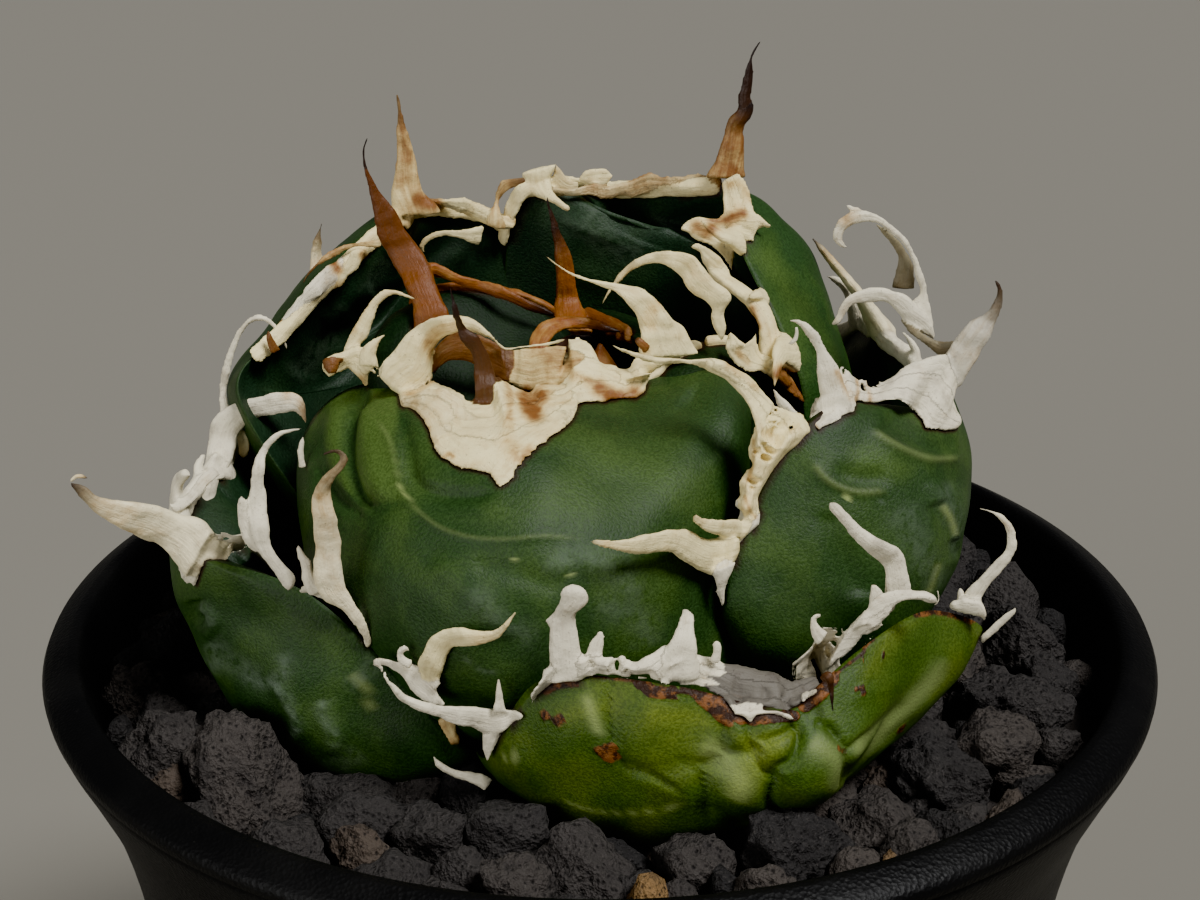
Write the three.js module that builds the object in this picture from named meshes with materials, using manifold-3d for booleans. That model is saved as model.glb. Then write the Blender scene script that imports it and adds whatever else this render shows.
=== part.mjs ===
import * as THREE from "three";
import { mergeVertices } from "three/addons/utils/BufferGeometryUtils.js";
import Module from "manifold-3d";

// Potted agave titanota with white whale-like horn along its leaves, millimetres, +Z up.
// The rails below are drawn from the middle of the soil surface, with z counted from the soil.

const soilHeight = 100;
const gap = 0.3;

const potSides = 30;
const potHoleRadius = 6;
const potFloor = 4;
const potFootInside = 42;
const potFootHeight = 2;

const bedSides = 20;
const bedTop = 95;
const bedClearance = 0.5;
const stoneCount = 34;
const stoneSmallest = 4.2;
const stoneLargest = 7.4;

// Steps along and across the leaves, and around and along their teeth and spines
const faceStations = 6;
const hiddenStations = 5;
const acrossSteps = 4;
const stripSteps = 5;
const veeSteps = 2;
const hookSides = 4;
const toothSteps = 3;
const spineSteps = 4;

// Horn clasps the flesh this deep, and flesh is this thick where the leaf thins out
const claspDepth = 1.6;
const edgeThickness = 0.9;

const wasm = await Module();
wasm.setup();

// Sides of the pot, radius and height, from the foot up to the rim's inner edge
const potOuter = [
  [46.2, 0],
  [56.6, 66],
  [58.8, 80],
  [60.5, 87],
  [62.6, 93],
  [65.4, 99],
  [67.6, 103.7],
  [67.9, 105],
  [66.2, 106.5],
  [63.6, 107.6],
];
const potInner = [
  [62.4, 105],
  [60.2, 95],
  [56.4, 80],
  [44.2, potFloor],
];

// Sides of the stem inside the rosette and of the furled bud on it, z from the soil
const stemProfile = [
  [0, -7],
  [7, -7],
  [8, 0],
  [7, 14],
  [5, 24],
  [0, 27],
];
const budProfile = [
  [0, 27.5],
  [4.5, 27.8],
  [6.2, 33],
  [5, 40],
  [2.4, 46],
  [0, 50],
];

// Each leaf has three rails, seen from outside: its left margin, the middle of its outer face
// and its right margin, five points from the stem towards the shared tip.
// round is how far the face wraps, thick the flesh in its middle, band the horn's width on the
// margin, vee how far the horn runs down the outer face from the tip (as a share of the leaf).
// from is where along the leaf the horn starts.
// A tooth is its rail, its place along the rail, its width and three points from its foot.
// A spine is its width and three points from the tip.
const leaves = {
  front: {
    left: [[-4, -9, 1], [-14, -24, 3], [-12.5, -36, 8.5], [-6.5, -39, 18.5], [9.5, -42, 19]],
    middle: [[3, -10, -2], [9, -25, -3], [14, -37, -1], [19, -43, 5], [24, -44, 11]],
    right: [[8, -6, 1], [28, -10, 4], [44, -20, 15], [37, -27, 22], [28.5, -36, 22]],
    tip: [23, -41, 18.5],
    round: 0.65,
    thick: 9,
    from: 0.4,
    band: 1.6,
    vee: 0.06,
    teeth: [
      ["left", 0.46, 3.2, [-7, -2, 1], [-12, -3, 4], [-15.5, -4, 8]],
      ["left", 0.5, 2.2, [-0.5, 0, 2], [-0.5, 0, 3.5], [-1, 0, 5]],
      ["left", 0.65, 5, [0, -1, 5.5], [0.5, 0, 9.5], [-0.5, 1, 11]],
      ["left", 0.68, 3, [0, 0, 3], [0, 0, 4.5], [0, 0, 6]],
      ["left", 0.79, 7, [0, 0, 3.5], [0, 1, 6], [0.5, 2, 9]],
      ["left", 0.83, 3, [0, 1, 1.5], [0, 2, 3], [0.5, 2, 5]],
      ["right", 0.92, 4, [-1.5, 0, 2.5], [-2.5, 1, 3.5], [-2.5, 1, 6]],
      ["right", 0.68, 5, [-1, 0, 5.5], [-3, 0, 8.5], [-9.5, -1, 13.5]],
      ["right", 0.52, 4, [3.5, 0, 4], [5, 1, 8], [1.5, 1, 12]],
      ["right", 0.4, 2.5, [2, 0, 0], [3.5, 0, 1.5], [4.5, 0, 3.5]],
    ],
    spine: [2, [1, 0, 1], [2, 0, 0.5], [3, 0, -2]],
  },
  left: {
    left: [[-9, 0, 1], [-30, 4, 4], [-42, 8, 16], [-46, 0, 26.5], [-49, -11, 26]],
    middle: [[-8, -5, -2], [-23, -13, -3], [-38, -18, 0], [-44, -20, 8], [-46, -20, 17]],
    right: [[-5, -9, 1], [-13, -24, 3], [-14.5, -30, 5.5], [-23, -29, 15.5], [-33, -26, 23.5]],
    tip: [-44.5, -22, 25.5],
    round: 0.7,
    thick: 10,
    from: 0.4,
    band: 1.6,
    vee: 0.1,
    teeth: [
      ["right", 0.87, 5, [-1, 0, 7.5], [-1, 1, 14], [4, 2, 17]],
      ["right", 0.91, 3, [0, 0, 4], [-0.5, 0, 6.5], [-0.5, 0, 9]],
      ["right", 0.74, 8, [-1.5, -1, 8], [-1, -1, 15.5], [2, -2, 20]],
      ["right", 0.79, 3, [-0.5, 0, 2], [-1, 0, 4], [-1, 0, 5.5]],
      ["right", 0.54, 5, [1, -1, 5.5], [5, -2, 8.5], [11, -3, 11.5]],
      ["left", 0.88, 3, [0, 0, 2], [0.5, 0, 3], [1, 0, 4]],
      ["left", 0.59, 4, [0, 0, 1.5], [1.5, 0, 2.5], [2.5, 0, 3]],
    ],
    spine: [8, [-4.5, -2, 5.5], [-9.5, -3, 8], [-13.5, -4, 11.5]],
  },
  face: {
    left: [[-8, -6, 3], [-29, -12, 7], [-35, -10, 21.5], [-35.5, -4, 32.5], [-28, -2, 39]],
    middle: [[-2, -9, 0], [-5, -27, 4], [-8, -36, 15], [-10, -36, 28], [-12, -26, 39]],
    right: [[8, -7, 3], [22, -15, 8], [18, -12, 27], [16, -4, 37.5], [4.5, -3, 40]],
    tip: [-12.5, -13, 41],
    round: 0.8,
    thick: 12,
    from: 0.62,
    band: 2.6,
    vee: 0.22,
    teeth: [
      ["left", 0.87, 7, [0.5, 2, 5], [5.5, 6, 5.5], [12.5, 9, 1]],
      ["left", 0.77, 4.5, [1.5, 0, 7.5], [4, 0, 11], [8, 0, 11.5]],
      ["left", 0.82, 4, [0.5, 0, 1.5], [1.5, 0, 3.5], [2, 0, 5.5]],
      ["right", 0.87, 8, [0, 2, 1.5], [-1, 4, 3], [-3, 5, 3.5]],
      ["right", 0.78, 5, [0, 0, 1], [0, 0, 2], [0.5, 1, 2.5]],
      ["right", 0.7, 9, [-3.5, 0, 7.5], [-8, 1, 11], [-16.5, 1, 14]],
    ],
    spine: [6, [-0.5, 1, 4.5], [-2.5, 1, 8.5], [-4, 0, 13]],
  },
  right: {
    left: [[4, -8, 3], [16, -20, 8], [13.5, -27, 21.5], [17, -22, 33], [25.5, -16, 41.5]],
    middle: [[9, -3, 0], [26, -11, 3], [37, -14, 12], [41, -14, 24], [40, -11, 33]],
    right: [[8, 5, 3], [27, 15, 8], [38, 17, 20], [40, 14, 30], [41, 7, 37]],
    tip: [39.5, -5, 37],
    round: 0.8,
    thick: 11,
    from: 0.46,
    band: 2.4,
    vee: 0.1,
    teeth: [
      ["left", 0.82, 5.5, [-0.5, -1, 4.5], [-3, -1, 8.5], [-5.5, -2, 11]],
      ["left", 0.74, 7, [-3.5, -2, 6], [-10, -3, 9.5], [-21, -5, 11.5]],
      ["left", 0.52, 7, [-4.5, -3, 3], [-9, -5, 2.5], [-16, -7, 3.5]],
      ["left", 0.55, 3.5, [-1.5, -1, 1.5], [-3.5, -2, 2], [-5, -3, 3]],
      ["left", 0.48, 6, [0, -1, -1.5], [-0.5, -1, -3], [-0.5, -1, -4.5]],
      ["left", 0.89, 4, [-1, 0, 1], [-1.5, 0, 2], [-2, 0, 2.5]],
      ["right", 0.82, 6, [-2, 2, 8], [-7, 3, 18.5], [-12.5, 3, 16.5]],
      ["right", 0.78, 5, [-2.5, 0, 7.5], [-8, 0, 10.5], [-12.5, 0, 6]],
    ],
    spine: [8, [2, 0, 4], [5.5, 0, 9.5], [6.5, 0, 15]],
  },
  tall: {
    left: [[9, 0, 5], [24, 2, 14], [24.5, 3, 33.5], [21.5, 6, 42.5], [17, 13, 50.5]],
    middle: [[6, 8, 2], [19, 21, 10], [26, 29, 26], [25, 31, 41], [21, 28, 51]],
    right: [[-4, 9, 5], [-10, 22, 18], [-13, 28, 36], [-10, 26, 53.5], [2.5, 29, 53]],
    tip: [16, 23, 55.5],
    round: 0.8,
    thick: 9,
    band: 2,
    vee: 0.12,
    teeth: [
      ["left", 0.76, 6, [-3, -1, 3], [-5.5, -2, 5], [-8, -2, 5]],
      ["left", 0.7, 4, [-3.5, 0, 2], [-6, 0, 3.5], [-8.5, 0, 5.5]],
      ["left", 0.46, 3, [-2.5, 0, 1], [-3.5, 0, 2.5], [-3.5, 0, 4]],
      ["right", 0.66, 6, [-0.5, -2, 2.5], [1, -5, 2], [3, -6, -2]],
      ["right", 0.75, 4.5, [0, -1, 2], [1.5, -2, 2.5], [2.5, -3, 1.5]],
      ["right", 0.58, 4, [-2, -1, 1.5], [-1.5, -2, 3], [0.5, -3, 4]],
      ["right", 0.86, 4, [-0.5, 0, 1], [-1, 0, 2], [-2, 0, 2.5]],
    ],
    spine: [7, [1, 0, 4.5], [1.5, 0, 10.5], [3, 0, 18]],
  },
  rear_left: {
    left: [[2, 9, 5], [3, 24, 18], [0, 31, 34], [-11, 28, 48], [-19, 26, 51.5]],
    middle: [[-7, 6, 2], [-22, 19, 8], [-34, 29, 24], [-34, 31, 40], [-29, 27, 49]],
    right: [[-9, 0, 5], [-28, -2, 14], [-43, 0, 35.5], [-38, 7, 42.5], [-30.5, 13, 49]],
    tip: [-24, 20, 53],
    round: 0.8,
    thick: 9,
    band: 1.8,
    vee: 0.1,
    teeth: [
      ["right", 0.87, 3.5, [-2, -1, 1.5], [-5, -2, 0.5], [-8, -2, -4]],
      ["right", 0.8, 4, [0, -1.5, 0], [-1, -2, -1], [-1.5, -2.5, -2.5]],
      ["right", 0.62, 3, [-1.5, 0, 1], [-2, 0, 2.5], [-1, 0, 4]],
      ["left", 0.63, 3.5, [-3, -4, -1.5], [-7, -6, 1], [-10.5, -7, -1.5]],
      ["left", 0.6, 3.5, [-2, -1, 3.5], [-1, -2, 6.5], [1, -2, 7.5]],
      ["left", 0.78, 4, [-0.5, 0, 1], [-1, 0, 2], [-2, 0, 2.5]],
    ],
    spine: [6, [0.5, 0, 5], [-0.5, 0, 10], [-0.5, 0, 14.5]],
  },
  right_low: {
    left: [[9, 0, 2], [28, 4, 5], [39, 8, 13], [41, 12, 26], [40, 18, 33]],
    middle: [[9, 6, -1], [25, 15, -2], [37, 24, 4], [41, 28, 15], [40, 28, 28]],
    right: [[3, 10, 2], [14, 29, 5], [26, 40, 14], [30, 40, 25], [34, 34, 33]],
    tip: [35.5, 24, 35.5],
    round: 0.75,
    thick: 8,
    band: 1.6,
    vee: 0,
    teeth: [],
    spine: [5, [-2.5, 0, 4.5], [-6.5, 0, 9.5], [-9, 0, 12.5]],
  },
  back_low: {
    left: [[8, 7, 2], [22, 24, 5], [31, 38, 11], [28, 43, 22], [18, 45, 30]],
    middle: [[1, 10, -1], [4, 28, -2], [6, 44, 4], [7, 51, 15], [6, 50, 26]],
    right: [[-7, 8, 2], [-16, 28, 5], [-21, 42, 12], [-17, 46, 23], [-6, 47, 30]],
    tip: [5, 44, 32],
    round: 0.75,
    thick: 9,
    band: 1.7,
    vee: 0,
    teeth: [],
    spine: [6, [0, 2, 6], [0.5, 3, 11], [0, 2, 16]],
  },
  back_left_low: {
    left: [[0, 11, 2], [-6, 30, 5], [-14, 45, 12], [-17, 46, 23], [-24, 41, 30]],
    middle: [[-8, 6, -1], [-22, 18, -2], [-37, 31, 4], [-42, 35, 15], [-40, 33, 26]],
    right: [[-10, 1, 2], [-30, 6, 5], [-45, 14, 12], [-46, 18, 22], [-41, 24, 30]],
    tip: [-34, 29, 32],
    round: 0.75,
    thick: 9,
    band: 1.7,
    vee: 0,
    teeth: [],
    spine: [6, [-1.5, 1.5, 6], [-2.5, 2, 11], [-1.5, 1.5, 16]],
  },
  left_low: {
    left: [[-9, 5, 1], [-26, 15, 3], [-39, 22, 10], [-43, 21, 19], [-45, 14, 26]],
    middle: [[-10, 0, -2], [-28, 1, -3], [-42, 4, 3], [-47, 5, 12], [-47, 6, 21]],
    right: [[-9, -5, 1], [-27, -12, 3], [-43, -14, 9], [-47, -11, 18], [-47, -3, 26.5]],
    tip: [-46, 6, 26.5],
    round: 0.75,
    thick: 7,
    band: 1.8,
    vee: 0,
    teeth: [
      ["left", 0.94, 3, [-1, 1, 5], [1.5, 2, 14.5], [8.5, 0, 12.5]],
      ["right", 0.84, 4, [1, 0, 1.5], [2, 0, 2.5], [3, 0, 3.5]],
    ],
    spine: [6, [0, -2, 6], [4.5, -4, 9], [11, -5, 9]],
  },
  inner_left: {
    left: [[-7, 3, 12], [-15, 8, 22], [-20, 12, 32], [-22, 11, 40], [-22, 8, 45]],
    middle: [[-6, -4, 10], [-14, -8, 20], [-22, -8, 32], [-25, -5, 41], [-24, -1, 46]],
    right: [[2, -6, 12], [2, -8, 24], [2, -5, 36], [-4.5, 4, 44.5], [-13, 4, 48.5]],
    tip: [-20.5, 3, 48.5],
    round: 0.8,
    thick: 6,
    from: 0.62,
    band: 1,
    vee: 0,
    teeth: [],
    spine: [7, [-3, 0, 5.5], [-5.5, 0, 12], [-6.5, 0, 18.5]],
  },
  inner_right: {
    left: [[2, -7, 12], [4, -10, 24], [7, -6, 35], [4.5, 0, 43], [2.5, 4, 43]],
    middle: [[5, 0, 10], [10, 2, 22], [11, 5, 33], [7, 8, 41], [2, 9, 44]],
    right: [[1, 7, 12], [2, 14, 24], [0, 16, 34], [-4, 14, 41], [-5.5, 12, 41.5]],
    tip: [-2.5, 9, 43.5],
    round: 0.8,
    thick: 5,
    from: 0.72,
    band: 1,
    vee: 0,
    teeth: [],
    spine: [4.5, [-1, 0, 5], [-2.5, 0, 10], [-3.5, 0, 14.5]],
  },
  inner_front: {
    left: [[-4, -7, 10], [-2, -18, 20], [1, -14, 32], [6, -8, 40], [10, -4, 44]],
    middle: [[5, -6, 9], [14, -14, 18], [20, -14, 30], [20, -9, 40], [17, -4, 46]],
    right: [[8, 2, 10], [20, -2, 20], [26, 1, 30], [25, 3, 39], [21, 3, 45]],
    tip: [15, 1, 46],
    round: 0.8,
    thick: 6,
    from: 0.66,
    band: 1.2,
    vee: 0,
    teeth: [],
    spine: [6, [-3, -1, 7], [-8.5, -2, 9], [-15, -2, 2]],
  },
};

// Leaves whose margins are out of sight carry evenly set hooked teeth
const plainTeeth = {
  left: ["left"],
  tall: ["left"],
  right_low: ["left", "right"],
  back_low: ["left", "right"],
  back_left_low: ["left", "right"],
  left_low: ["left"],
};

const flesh = {
  front: 0x6f8f22,
  left: 0x2c4a22,
  face: 0x2f5124,
  right: 0x2b4a22,
  tall: 0x36602a,
};
const horn = {
  inner_left: 0x7a3d1c,
  inner_right: 0x9a5a24,
};

// Smooth curve through evenly spaced values, u from 0 to 1
function through(values, u) {
  const last = values.length - 1;
  const x = Math.min(Math.max(u, 0), 1) * last;
  const k = Math.min(Math.floor(x), last - 1);
  const t = x - k;
  const p1 = values[k];
  const p2 = values[k + 1];
  const p0 = k > 0 ? values[k - 1] : 2 * p1 - p2;
  const p3 = k < last - 1 ? values[k + 2] : 2 * p2 - p1;
  const a = 3 * p1 - p0 - 3 * p2 + p3;
  const b = 2 * p0 - 5 * p1 + 4 * p2 - p3;
  return 0.5 * (2 * p1 + (p2 - p0) * t + b * t * t + a * t * t * t);
}

function pointOn(points, u) {
  const at = (axis) => through(points.map((p) => p[axis]), u);
  return new THREE.Vector3(at(0), at(1), at(2));
}

// Point of a leaf's outer face: s from stem to tip, v from -1 at the left margin to 1
function facePoint(leaf, s, v) {
  const left = pointOn([...leaf.left, leaf.tip], s);
  const middle = pointOn([...leaf.middle, leaf.tip], s);
  const right = pointOn([...leaf.right, leaf.tip], s);
  const k = (leaf.round * Math.PI) / 2;
  const across = Math.sin(v * k) / Math.sin(k);
  const depth = (1 - Math.cos(v * k)) / (1 - Math.cos(k));
  const half = right.clone().sub(left).multiplyScalar(0.5);
  const rise = left.clone().add(right).multiplyScalar(0.5).sub(middle);
  return middle.addScaledVector(half, across).addScaledVector(rise, depth);
}

// Directions on the face: towards the tip, across, and into the flesh
function faceFrame(leaf, s, v) {
  const step = 0.01;
  const s0 = Math.min(s, 0.97);
  const along = facePoint(leaf, s0 + step, v).sub(facePoint(leaf, s0 - step, v)).normalize();
  const v0 = Math.min(Math.max(v, -0.98), 0.98);
  const across = facePoint(leaf, s0, v0 + step).sub(facePoint(leaf, s0, v0 - step)).normalize();
  const inward = along.clone().cross(across).normalize();
  return { along, across, inward };
}

// Closed surface over rings of the same number of points, each end capped from its middle
function overRings(rings) {
  const around = rings[0].length;
  const points = rings.flat();
  const index = [];
  for (let i = 0; i < rings.length - 1; i++) {
    for (let j = 0; j < around; j++) {
      const a = i * around + j;
      const b = i * around + ((j + 1) % around);
      index.push(a, b, b + around, a, b + around, a + around);
    }
  }
  for (const [start, turn] of [[0, false], [(rings.length - 1) * around, true]]) {
    const centre = new THREE.Vector3();
    for (let j = 0; j < around; j++) centre.addScaledVector(points[start + j], 1 / around);
    points.push(centre);
    for (let j = 0; j < around; j++) {
      const a = start + j;
      const b = start + ((j + 1) % around);
      index.push(points.length - 1, turn ? a : b, turn ? b : a);
    }
  }
  const geometry = new THREE.BufferGeometry().setFromPoints(points);
  geometry.setIndex(index);
  return geometry;
}

// Geometry with nothing but its points, so that shared ones can be merged
function bare(geometry) {
  const copy = geometry.clone();
  copy.deleteAttribute("normal");
  copy.deleteAttribute("uv");
  return copy;
}

function toSolid(geometry) {
  const merged = mergeVertices(bare(geometry), 1e-4);
  const mesh = new wasm.Mesh({
    numProp: 3,
    vertProperties: Float32Array.from(merged.attributes.position.array),
    triVerts: Uint32Array.from(merged.index.array),
  });
  const solid = new wasm.Manifold(mesh);
  return solid.volume() < 0 ? toSolid(turned(geometry)) : solid;
}

function turned(geometry) {
  const index = Array.from(geometry.index.array);
  for (let i = 0; i < index.length; i += 3) {
    [index[i], index[i + 1]] = [index[i + 1], index[i]];
  }
  const other = geometry.clone();
  other.setIndex(index);
  return other;
}

// The same closed surface, moved outward all over
function swollen(geometry, distance) {
  const faces = toSolid(geometry).getMesh();
  const shape = new THREE.BufferGeometry();
  const points = new Float32Array(faces.vertProperties);
  shape.setAttribute("position", new THREE.BufferAttribute(points, 3));
  shape.setIndex(Array.from(faces.triVerts));
  shape.computeVertexNormals();
  const normals = shape.attributes.normal.array;
  for (let i = 0; i < points.length; i++) points[i] += normals[i] * distance;
  return shape;
}

function largest(solid) {
  const bodies = solid.decompose();
  bodies.sort((a, b) => b.volume() - a.volume());
  return bodies[0];
}

// Flesh of a leaf: outer face, then the inner face a thickness further in
function fleshOf(leaf) {
  const stations = leaf.vee ? faceStations : hiddenStations;
  const rings = [];
  for (let i = 0; i <= stations; i++) {
    const s = 0.04 + 0.92 * (i / stations) ** 0.85;
    const thick = leaf.thick * (0.75 + 0.5 * Math.sin(Math.PI * s)) * (1 - s ** 4) ** 0.6;
    const ring = [];
    const back = [];
    for (let j = 0; j <= acrossSteps; j++) {
      const v = (2 * j) / acrossSteps - 1;
      const { inward } = faceFrame(leaf, s, v);
      const point = facePoint(leaf, s, v);
      const depth = thick * (1 - Math.abs(v) ** 2.4) ** 0.8 + edgeThickness;
      ring.push(point);
      back.unshift(point.clone().addScaledVector(inward, depth));
    }
    rings.push([...ring, ...back]);
  }
  return overRings(rings);
}

// Horn along one margin: a flat strip that clasps the edge of the flesh
function stripOf(leaf, rail, from) {
  const side = rail === "left" ? -1 : 1;
  const rings = [];
  for (let i = 0; i <= stripSteps; i++) {
    const u = i / stripSteps;
    const s = from + (0.985 - from) * u;
    const { across, inward } = faceFrame(leaf, s, side);
    const out = across.multiplyScalar(side);
    const width = leaf.band * Math.min(1, 0.35 + 2.5 * u);
    const wave = 0.35 * leaf.band * Math.sin(9 * Math.PI * u + 5 * leaf.thick);
    const edge = facePoint(leaf, s, side);
    const place = (sideways, deep) =>
      edge.clone().addScaledVector(out, sideways).addScaledVector(inward, deep);
    rings.push([
      place(-width, -0.5),
      place(0.3 * width, -0.6),
      place(0.9 * width + wave, 0.5),
      place(-0.4 * width, claspDepth),
    ]);
  }
  return overRings(rings);
}

// Horn run down the outer face from the tip
function veeOf(leaf) {
  const rings = [];
  for (let i = 0; i <= veeSteps; i++) {
    const u = i / veeSteps;
    const s = Math.min(1 - leaf.vee * (1.15 - u), 0.985);
    const reach = 0.06 + 0.9 * u;
    const ring = [];
    const back = [];
    for (let j = 0; j <= 2; j++) {
      const v = reach * (j - 1);
      const { inward } = faceFrame(leaf, s, v);
      const point = facePoint(leaf, s, v);
      const rim = j === 1 ? 0.6 : 0.2;
      ring.push(point.clone().addScaledVector(inward, -rim));
      back.unshift(point.addScaledVector(inward, edgeThickness));
    }
    rings.push([...ring, ...back]);
  }
  return overRings(rings);
}

// A tooth or spine: a flattened hook tapering along its path to a point
function hookOf(path, width, along, steps) {
  const rings = [];
  let wide = along.clone();
  for (let i = 0; i <= steps; i++) {
    const u = i / steps;
    const centre = pointOn(path, u);
    const before = pointOn(path, Math.max(u - 0.03, 0));
    const ahead = pointOn(path, Math.min(u + 0.03, 1)).sub(before).normalize();
    wide.addScaledVector(ahead, -wide.dot(ahead)).normalize();
    const deep = ahead.clone().cross(wide).normalize();
    const half = 0.5 * width * ((1 - u) ** 0.8 * (1 - 0.35 * u) + 0.04);
    const flat = Math.max(0.5 * half, Math.min(half, 0.42));
    const ring = [];
    for (let j = 0; j < hookSides; j++) {
      const turn = (2 * Math.PI * j) / hookSides;
      ring.push(
        centre
          .clone()
          .addScaledVector(wide, half * Math.cos(turn))
          .addScaledVector(deep, flat * Math.sin(turn)),
      );
    }
    rings.push(ring);
  }
  return overRings(rings);
}

function toothOf(leaf, [rail, s, width, ...steps]) {
  const side = rail === "left" ? -1 : 1;
  const foot = facePoint(leaf, s, side);
  const { along, across, inward } = faceFrame(leaf, s, side);
  const root = foot.clone().addScaledVector(across, -0.6 * side).addScaledVector(inward, 0.4);
  const path = [root.toArray()];
  for (const step of steps) path.push(foot.clone().add(new THREE.Vector3(...step)).toArray());
  return hookOf(path, width, along, toothSteps);
}

function plainTooth(leaf, rail, k) {
  const side = rail === "left" ? -1 : 1;
  const s = 0.54 + 0.14 * k;
  const length = 7 + 3 * Math.sin(2.4 * k + leaf.thick + side);
  const lean = 0.55 * Math.sin(1.9 * k + 2 * side);
  const { along, across, inward } = faceFrame(leaf, s, side);
  const steps = [0.4, 0.75, 1].map((u) =>
    across
      .clone()
      .multiplyScalar(side * length * u * (1 - 0.25 * u))
      .addScaledVector(along, length * lean * u * u)
      .addScaledVector(inward, -0.35 * length * u * (1.2 - u))
      .toArray(),
  );
  return toothOf(leaf, [rail, s, 0.45 * length, ...steps]);
}

function spineOf(leaf) {
  const [width, ...steps] = leaf.spine;
  const tip = new THREE.Vector3(...leaf.tip);
  const { along, across } = faceFrame(leaf, 0.94, 0);
  const root = tip.clone().addScaledVector(along, -0.3 * width);
  const path = [root.toArray()];
  for (const step of steps) path.push(tip.clone().add(new THREE.Vector3(...step)).toArray());
  return hookOf(path, width, across, spineSteps);
}

function hornPieces(name, leaf) {
  const from = leaf.from ?? 0.5;
  const pieces = [stripOf(leaf, "left", from), stripOf(leaf, "right", from)];
  pieces.push(spineOf(leaf));
  if (leaf.vee) pieces.push(veeOf(leaf));
  for (const tooth of leaf.teeth) pieces.push(toothOf(leaf, tooth));
  for (const rail of plainTeeth[name] ?? []) {
    for (let k = 0; k < 3; k++) pieces.push(plainTooth(leaf, rail, k));
  }
  return pieces;
}

function joined(geometries) {
  return geometries.map(toSolid).reduce((all, one) => all.add(one));
}

// Fixed spread of numbers from 0 to 1 for the stones
function spread(k, salt) {
  const x = Math.sin(k * 12.9898 + salt * 78.233) * 43758.5453;
  return x - Math.floor(x);
}

// Lava stone number k of the top dressing, a lumpy icosahedron between stem and pot wall
function stoneOf(k) {
  const goldenAngle = 2.39996;
  const share = (k + 0.5) / stoneCount;
  const size = stoneSmallest + (stoneLargest - stoneSmallest) * spread(k, 1);
  const reach = Math.min(57.5 * Math.sqrt(0.42 + 0.58 * share), 60.5 - size * 1.25);
  const stone = mergeVertices(bare(new THREE.IcosahedronGeometry(size, 0)), 1e-3);
  const position = stone.attributes.position;
  const corner = new THREE.Vector3();
  for (let i = 0; i < position.count; i++) {
    corner.fromBufferAttribute(position, i).multiplyScalar(0.78 + 0.44 * spread(k * 13 + i, 2));
    position.setXYZ(i, ...corner);
  }
  stone.rotateZ(2 * Math.PI * spread(k, 3));
  stone.rotateX(1.5 * spread(k, 4));
  const turn = k * goldenAngle;
  stone.translate(reach * Math.cos(turn), reach * Math.sin(turn), 1.5 * spread(k, 5) - 1.6);
  return stone;
}

function lathe(profile, sides) {
  const points = profile.map(([r, z]) => new THREE.Vector2(r, z));
  const shape = new THREE.LatheGeometry(points, sides);
  shape.rotateX(Math.PI / 2);
  return shape;
}

const stem = lathe(stemProfile, 12);
const bud = lathe(budProfile, 10);

// The flesh of each leaf stands clear of the leaves before it, of its own horn and of the stem;
// each horn then stands clear of every other leaf and of the horns before it
const core = toSolid(swollen(stem, gap)).add(toSolid(swollen(bud, gap)));
const names = Object.keys(leaves);
const fleshRoom = {};
const hornParts = {};
for (const name of names) {
  const leafFlesh = fleshOf(leaves[name]);
  fleshRoom[name] = toSolid(swollen(leafFlesh, gap)).add(toSolid(leafFlesh));
  hornParts[name] = hornPieces(name, leaves[name]);
}
const solids = {};
let standing = core;
for (const name of names) {
  const clasp = hornParts[name].map((part) => swollen(part, gap));
  solids[`${name}_leaf`] = largest(
    toSolid(fleshOf(leaves[name])).subtract(standing).subtract(joined(clasp)),
  );
  standing = standing.add(fleshRoom[name]);
}
let hooked = core;
for (const name of names) {
  let horn = joined(hornParts[name]).subtract(hooked);
  for (const other of names) {
    horn = horn.subtract(other === name ? solids[`${name}_leaf`] : fleshRoom[other]);
  }
  solids[`${name}_horn`] = largest(horn);
  hooked = hooked.add(joined(hornParts[name].map((part) => swollen(part, gap))));
}

const pot = lathe(
  [
    [potHoleRadius, potFootHeight],
    [potFootInside - 1, potFootHeight],
    [potFootInside, 0],
    ...potOuter,
    ...potInner,
    [potHoleRadius, potFloor],
    [potHoleRadius, potFootHeight],
  ],
  potSides,
);

// The fill follows the pot's inner wall up to its flat top, where the stones lie
const fillSides = potInner.slice(1).reverse();
const fill = lathe(
  [
    [0, potFloor + gap],
    ...fillSides.map(([r, z]) => [r - bedClearance, Math.max(z, potFloor + gap)]),
    [0, bedTop],
  ],
  bedSides,
);
let bed = toSolid(fill).translate([0, 0, -soilHeight]);
for (let k = 0; k < stoneCount; k++) bed = bed.add(toSolid(stoneOf(k)));
const gravel = largest(bed.subtract(standing).subtract(hooked));

function meshOf(name, solid, colour, roughness, lift) {
  const mesh = solid.getMesh();
  const shape = new THREE.BufferGeometry();
  shape.setAttribute("position", new THREE.BufferAttribute(new Float32Array(mesh.vertProperties), 3));
  shape.setIndex(Array.from(mesh.triVerts));
  shape.translate(0, 0, lift);
  const flat = shape.toNonIndexed();
  flat.computeVertexNormals();
  const material = new THREE.MeshStandardMaterial({ color: colour, roughness, metalness: 0 });
  const result = new THREE.Mesh(flat, material);
  result.name = name;
  return result;
}

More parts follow.
